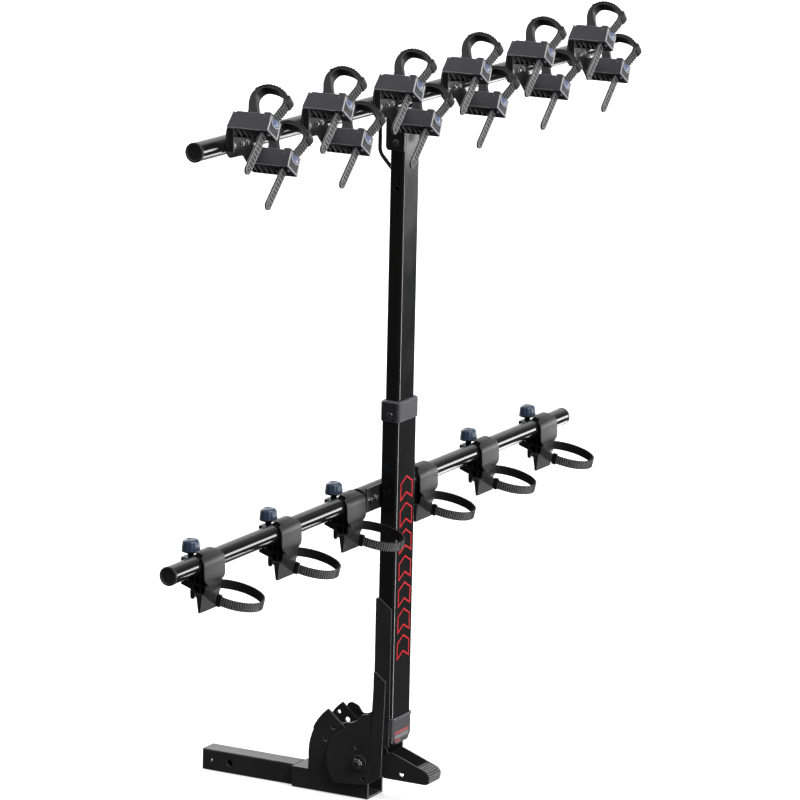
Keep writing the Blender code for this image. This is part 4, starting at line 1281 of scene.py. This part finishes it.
def hanger_place(number):
    """The hanger's middle on the upper bar, found from its two buttons, with its lean."""
    point = (middle(f"ratchet_button_{number}a") + middle(f"ratchet_button_{number}b")) / 2
    rise = BUTTON_MIDDLE_HEIGHT * math.sin(HANGER_LEAN)
    return Matrix.Translation((point.x - rise, MAST_Y, point.z - rise)) @ Matrix.Rotation(HANGER_LEAN, 4, "Y")


def hanger_side(label, side, place, made):
    """The rest, ratchet and strap on one side of a hanger, and its button."""
    shift = place @ Matrix.Translation((side * BLOCK_SPREAD, 0, 0))
    repeated(SIDE_PIECES, label, "mast", shift, made)
    repeated(BUTTON_PIECES, label, f"button_{label}", shift @ button_frame(), made)


def hangers():
    made = {}
    for number in range(1, BIKES + 1):
        place = hanger_place(number)
        repeated(PLATE_PIECES, number, "mast", place, made)
        hanger_side(f"{number}a", -1, place, made)
        hanger_side(f"{number}b", 1, place, made)


# Studio: floor, light and camera


BACKDROP = (0.90, 0.43)
CEILING_LIGHT = 0.40
FILL_LIGHT = 0.07
CARD_DISTANCE = 30.0
FLOOR_GLOW = 0.45


def studio_floor():
    reach = (-60.0, 60.0)
    floor = box(reach, reach, (FLOOR_Z - 0.05, FLOOR_Z - 0.0005))
    floor.name = "studio_floor"
    made = bpy.data.materials.new("floor")
    made.use_nodes = True
    inputs = {"Base Color": (0.85, 0.85, 0.85, 1), "Roughness": 0.9, "Specular IOR Level": 0.1}
    inputs |= {"Emission Color": (1, 1, 1, 1), "Emission Strength": FLOOR_GLOW}
    feed(made.node_tree, made.node_tree.nodes["Principled BSDF"], inputs)
    floor.data.materials.append(made)
    floor.visible_glossy = False
    floor.visible_diffuse = False
    floor.visible_shadow = False


def maths(tree, operation, first, second):
    """Arithmetic on two values, either of which may be a plain number."""
    node = tree.nodes.new("ShaderNodeMath")
    node.operation = operation
    return feed(tree, node, {0: first, 1: second}).outputs["Value"]


def rise(tree, value, low, high):
    """0 where the value is low, 1 where it is high, and a soft change between."""
    node = tree.nodes.new("ShaderNodeMapRange")
    node.interpolation_type = "SMOOTHSTEP"
    return feed(tree, node, {"From Min": low, "From Max": high, "Value": value}).outputs["Result"]


def studio_world():
    """Soft light by direction: a bright backdrop on the far side, a pale ceiling, and dark elsewhere. The
    camera itself sees plain white."""
    world = bpy.data.worlds.new("studio")
    bpy.context.scene.world = world
    world.use_nodes = True
    tree = world.node_tree
    coords = tree.nodes.new("ShaderNodeTexCoord")
    split = tree.nodes.new("ShaderNodeSeparateXYZ")
    tree.links.new(coords.outputs["Generated"], split.inputs["Vector"])
    x, y, z = (split.outputs[axis] for axis in "XYZ")
    across, ahead = maths(tree, "MULTIPLY", x, BACKDROP[0]), maths(tree, "MULTIPLY", y, BACKDROP[1])
    far = maths(tree, "ADD", across, ahead)
    backdrop = maths(tree, "MULTIPLY", rise(tree, far, 0.62, 0.88), rise(tree, z, -0.62, -0.30))
    ceiling = maths(tree, "MULTIPLY", rise(tree, z, 0.25, 0.85), CEILING_LIGHT)
    total = maths(tree, "ADD", backdrop, maths(tree, "ADD", ceiling, FILL_LIGHT))
    seen = tree.nodes.new("ShaderNodeLightPath").outputs["Is Camera Ray"]
    tree.links.new(maths(tree, "MAXIMUM", total, seen), tree.nodes["Background"].inputs["Color"])


def light_card(name, azimuth, width, low, high, radiance):
    """A far flat light that fills this many degrees of the sky. Azimuth 0 is +X and 90 is +Y."""
    a, e = math.radians(azimuth), math.radians((low + high) / 2)
    way = Vector((math.cos(a) * math.cos(e), math.sin(a) * math.cos(e), math.sin(e)))
    data = bpy.data.lights.new(name, "AREA")
    data.shape = "RECTANGLE"
    data.size = 2 * CARD_DISTANCE * math.tan(math.radians(width) / 2)
    data.size_y = 2 * CARD_DISTANCE * math.tan(math.radians(high - low) / 2)
    data.energy = radiance * math.pi * data.size * data.size_y
    obj = bpy.data.objects.new(name, data)
    bpy.context.scene.collection.objects.link(obj)
    obj.visible_camera = False
    obj.location = way * CARD_DISTANCE + Vector((0, 0, 1))
    obj.rotation_euler = (-way).to_track_quat("-Z", "Y").to_euler()


def studio_lights():
    light_card("key", -105, 34, 22, 56, 7.0)
    light_card("overhead", 160, 50, 62, 86, 1.2)
    light_card("bar_stripe", -30, 34, -8, 4, 9.0)
    light_card("bar_second", -9, 26, -31, -26, 5.0)
    light_card("corner_line", -84, 8, -26, 2, 26.0)
    light_card("far_side", 60, 50, 10, 50, 5.0)


def camera():
    data = bpy.data.cameras.new("camera")
    data.lens = CAMERA_LENS
    data.sensor_width = SENSOR
    data.clip_end = 200.0
    obj = bpy.data.objects.new("camera", data)
    bpy.context.scene.collection.objects.link(obj)
    a, e, r = (math.radians(v) for v in (CAMERA_AZIMUTH, CAMERA_ELEVATION, CAMERA_ROLL))
    level = Vector((math.cos(a), -math.sin(a), 0))
    forward = Vector((math.sin(a) * math.cos(e), math.cos(a) * math.cos(e), -math.sin(e)))
    up = level.cross(forward)
    right = level * math.cos(r) + up * math.sin(r)
    up = up * math.cos(r) - level * math.sin(r)
    turn = Matrix((right, up, -forward)).transposed().to_4x4()
    obj.matrix_world = Matrix.Translation(CAMERA_PLACE) @ turn
    bpy.context.scene.camera = obj


def main():
    as_packed("shank_tube", "hitch_shank", body="base")
    base_bracket()
    pivot_fasteners()
    tilt_frame()
    as_packed("mast_sheath", "mast_channel", edge=0.0006)
    lock_parts()
    foot_pedal()
    pedal_axle()
    mast_cup()
    mast_tubes()
    mast_collar()
    mast_graphic()
    crossbar("lower_crossbar", "lower_bar_tube")
    crossbar("upper_crossbar", "upper_bar_tube")
    end_caps("lower")
    end_caps("upper")
    lower_bar_bracket()
    upper_bar_saddle()
    cable_hoop()
    wheel_cradles()
    hangers()
    studio_floor()
    studio_world()
    studio_lights()
    camera()
    bpy.context.scene.view_settings.view_transform = "Standard"


main()
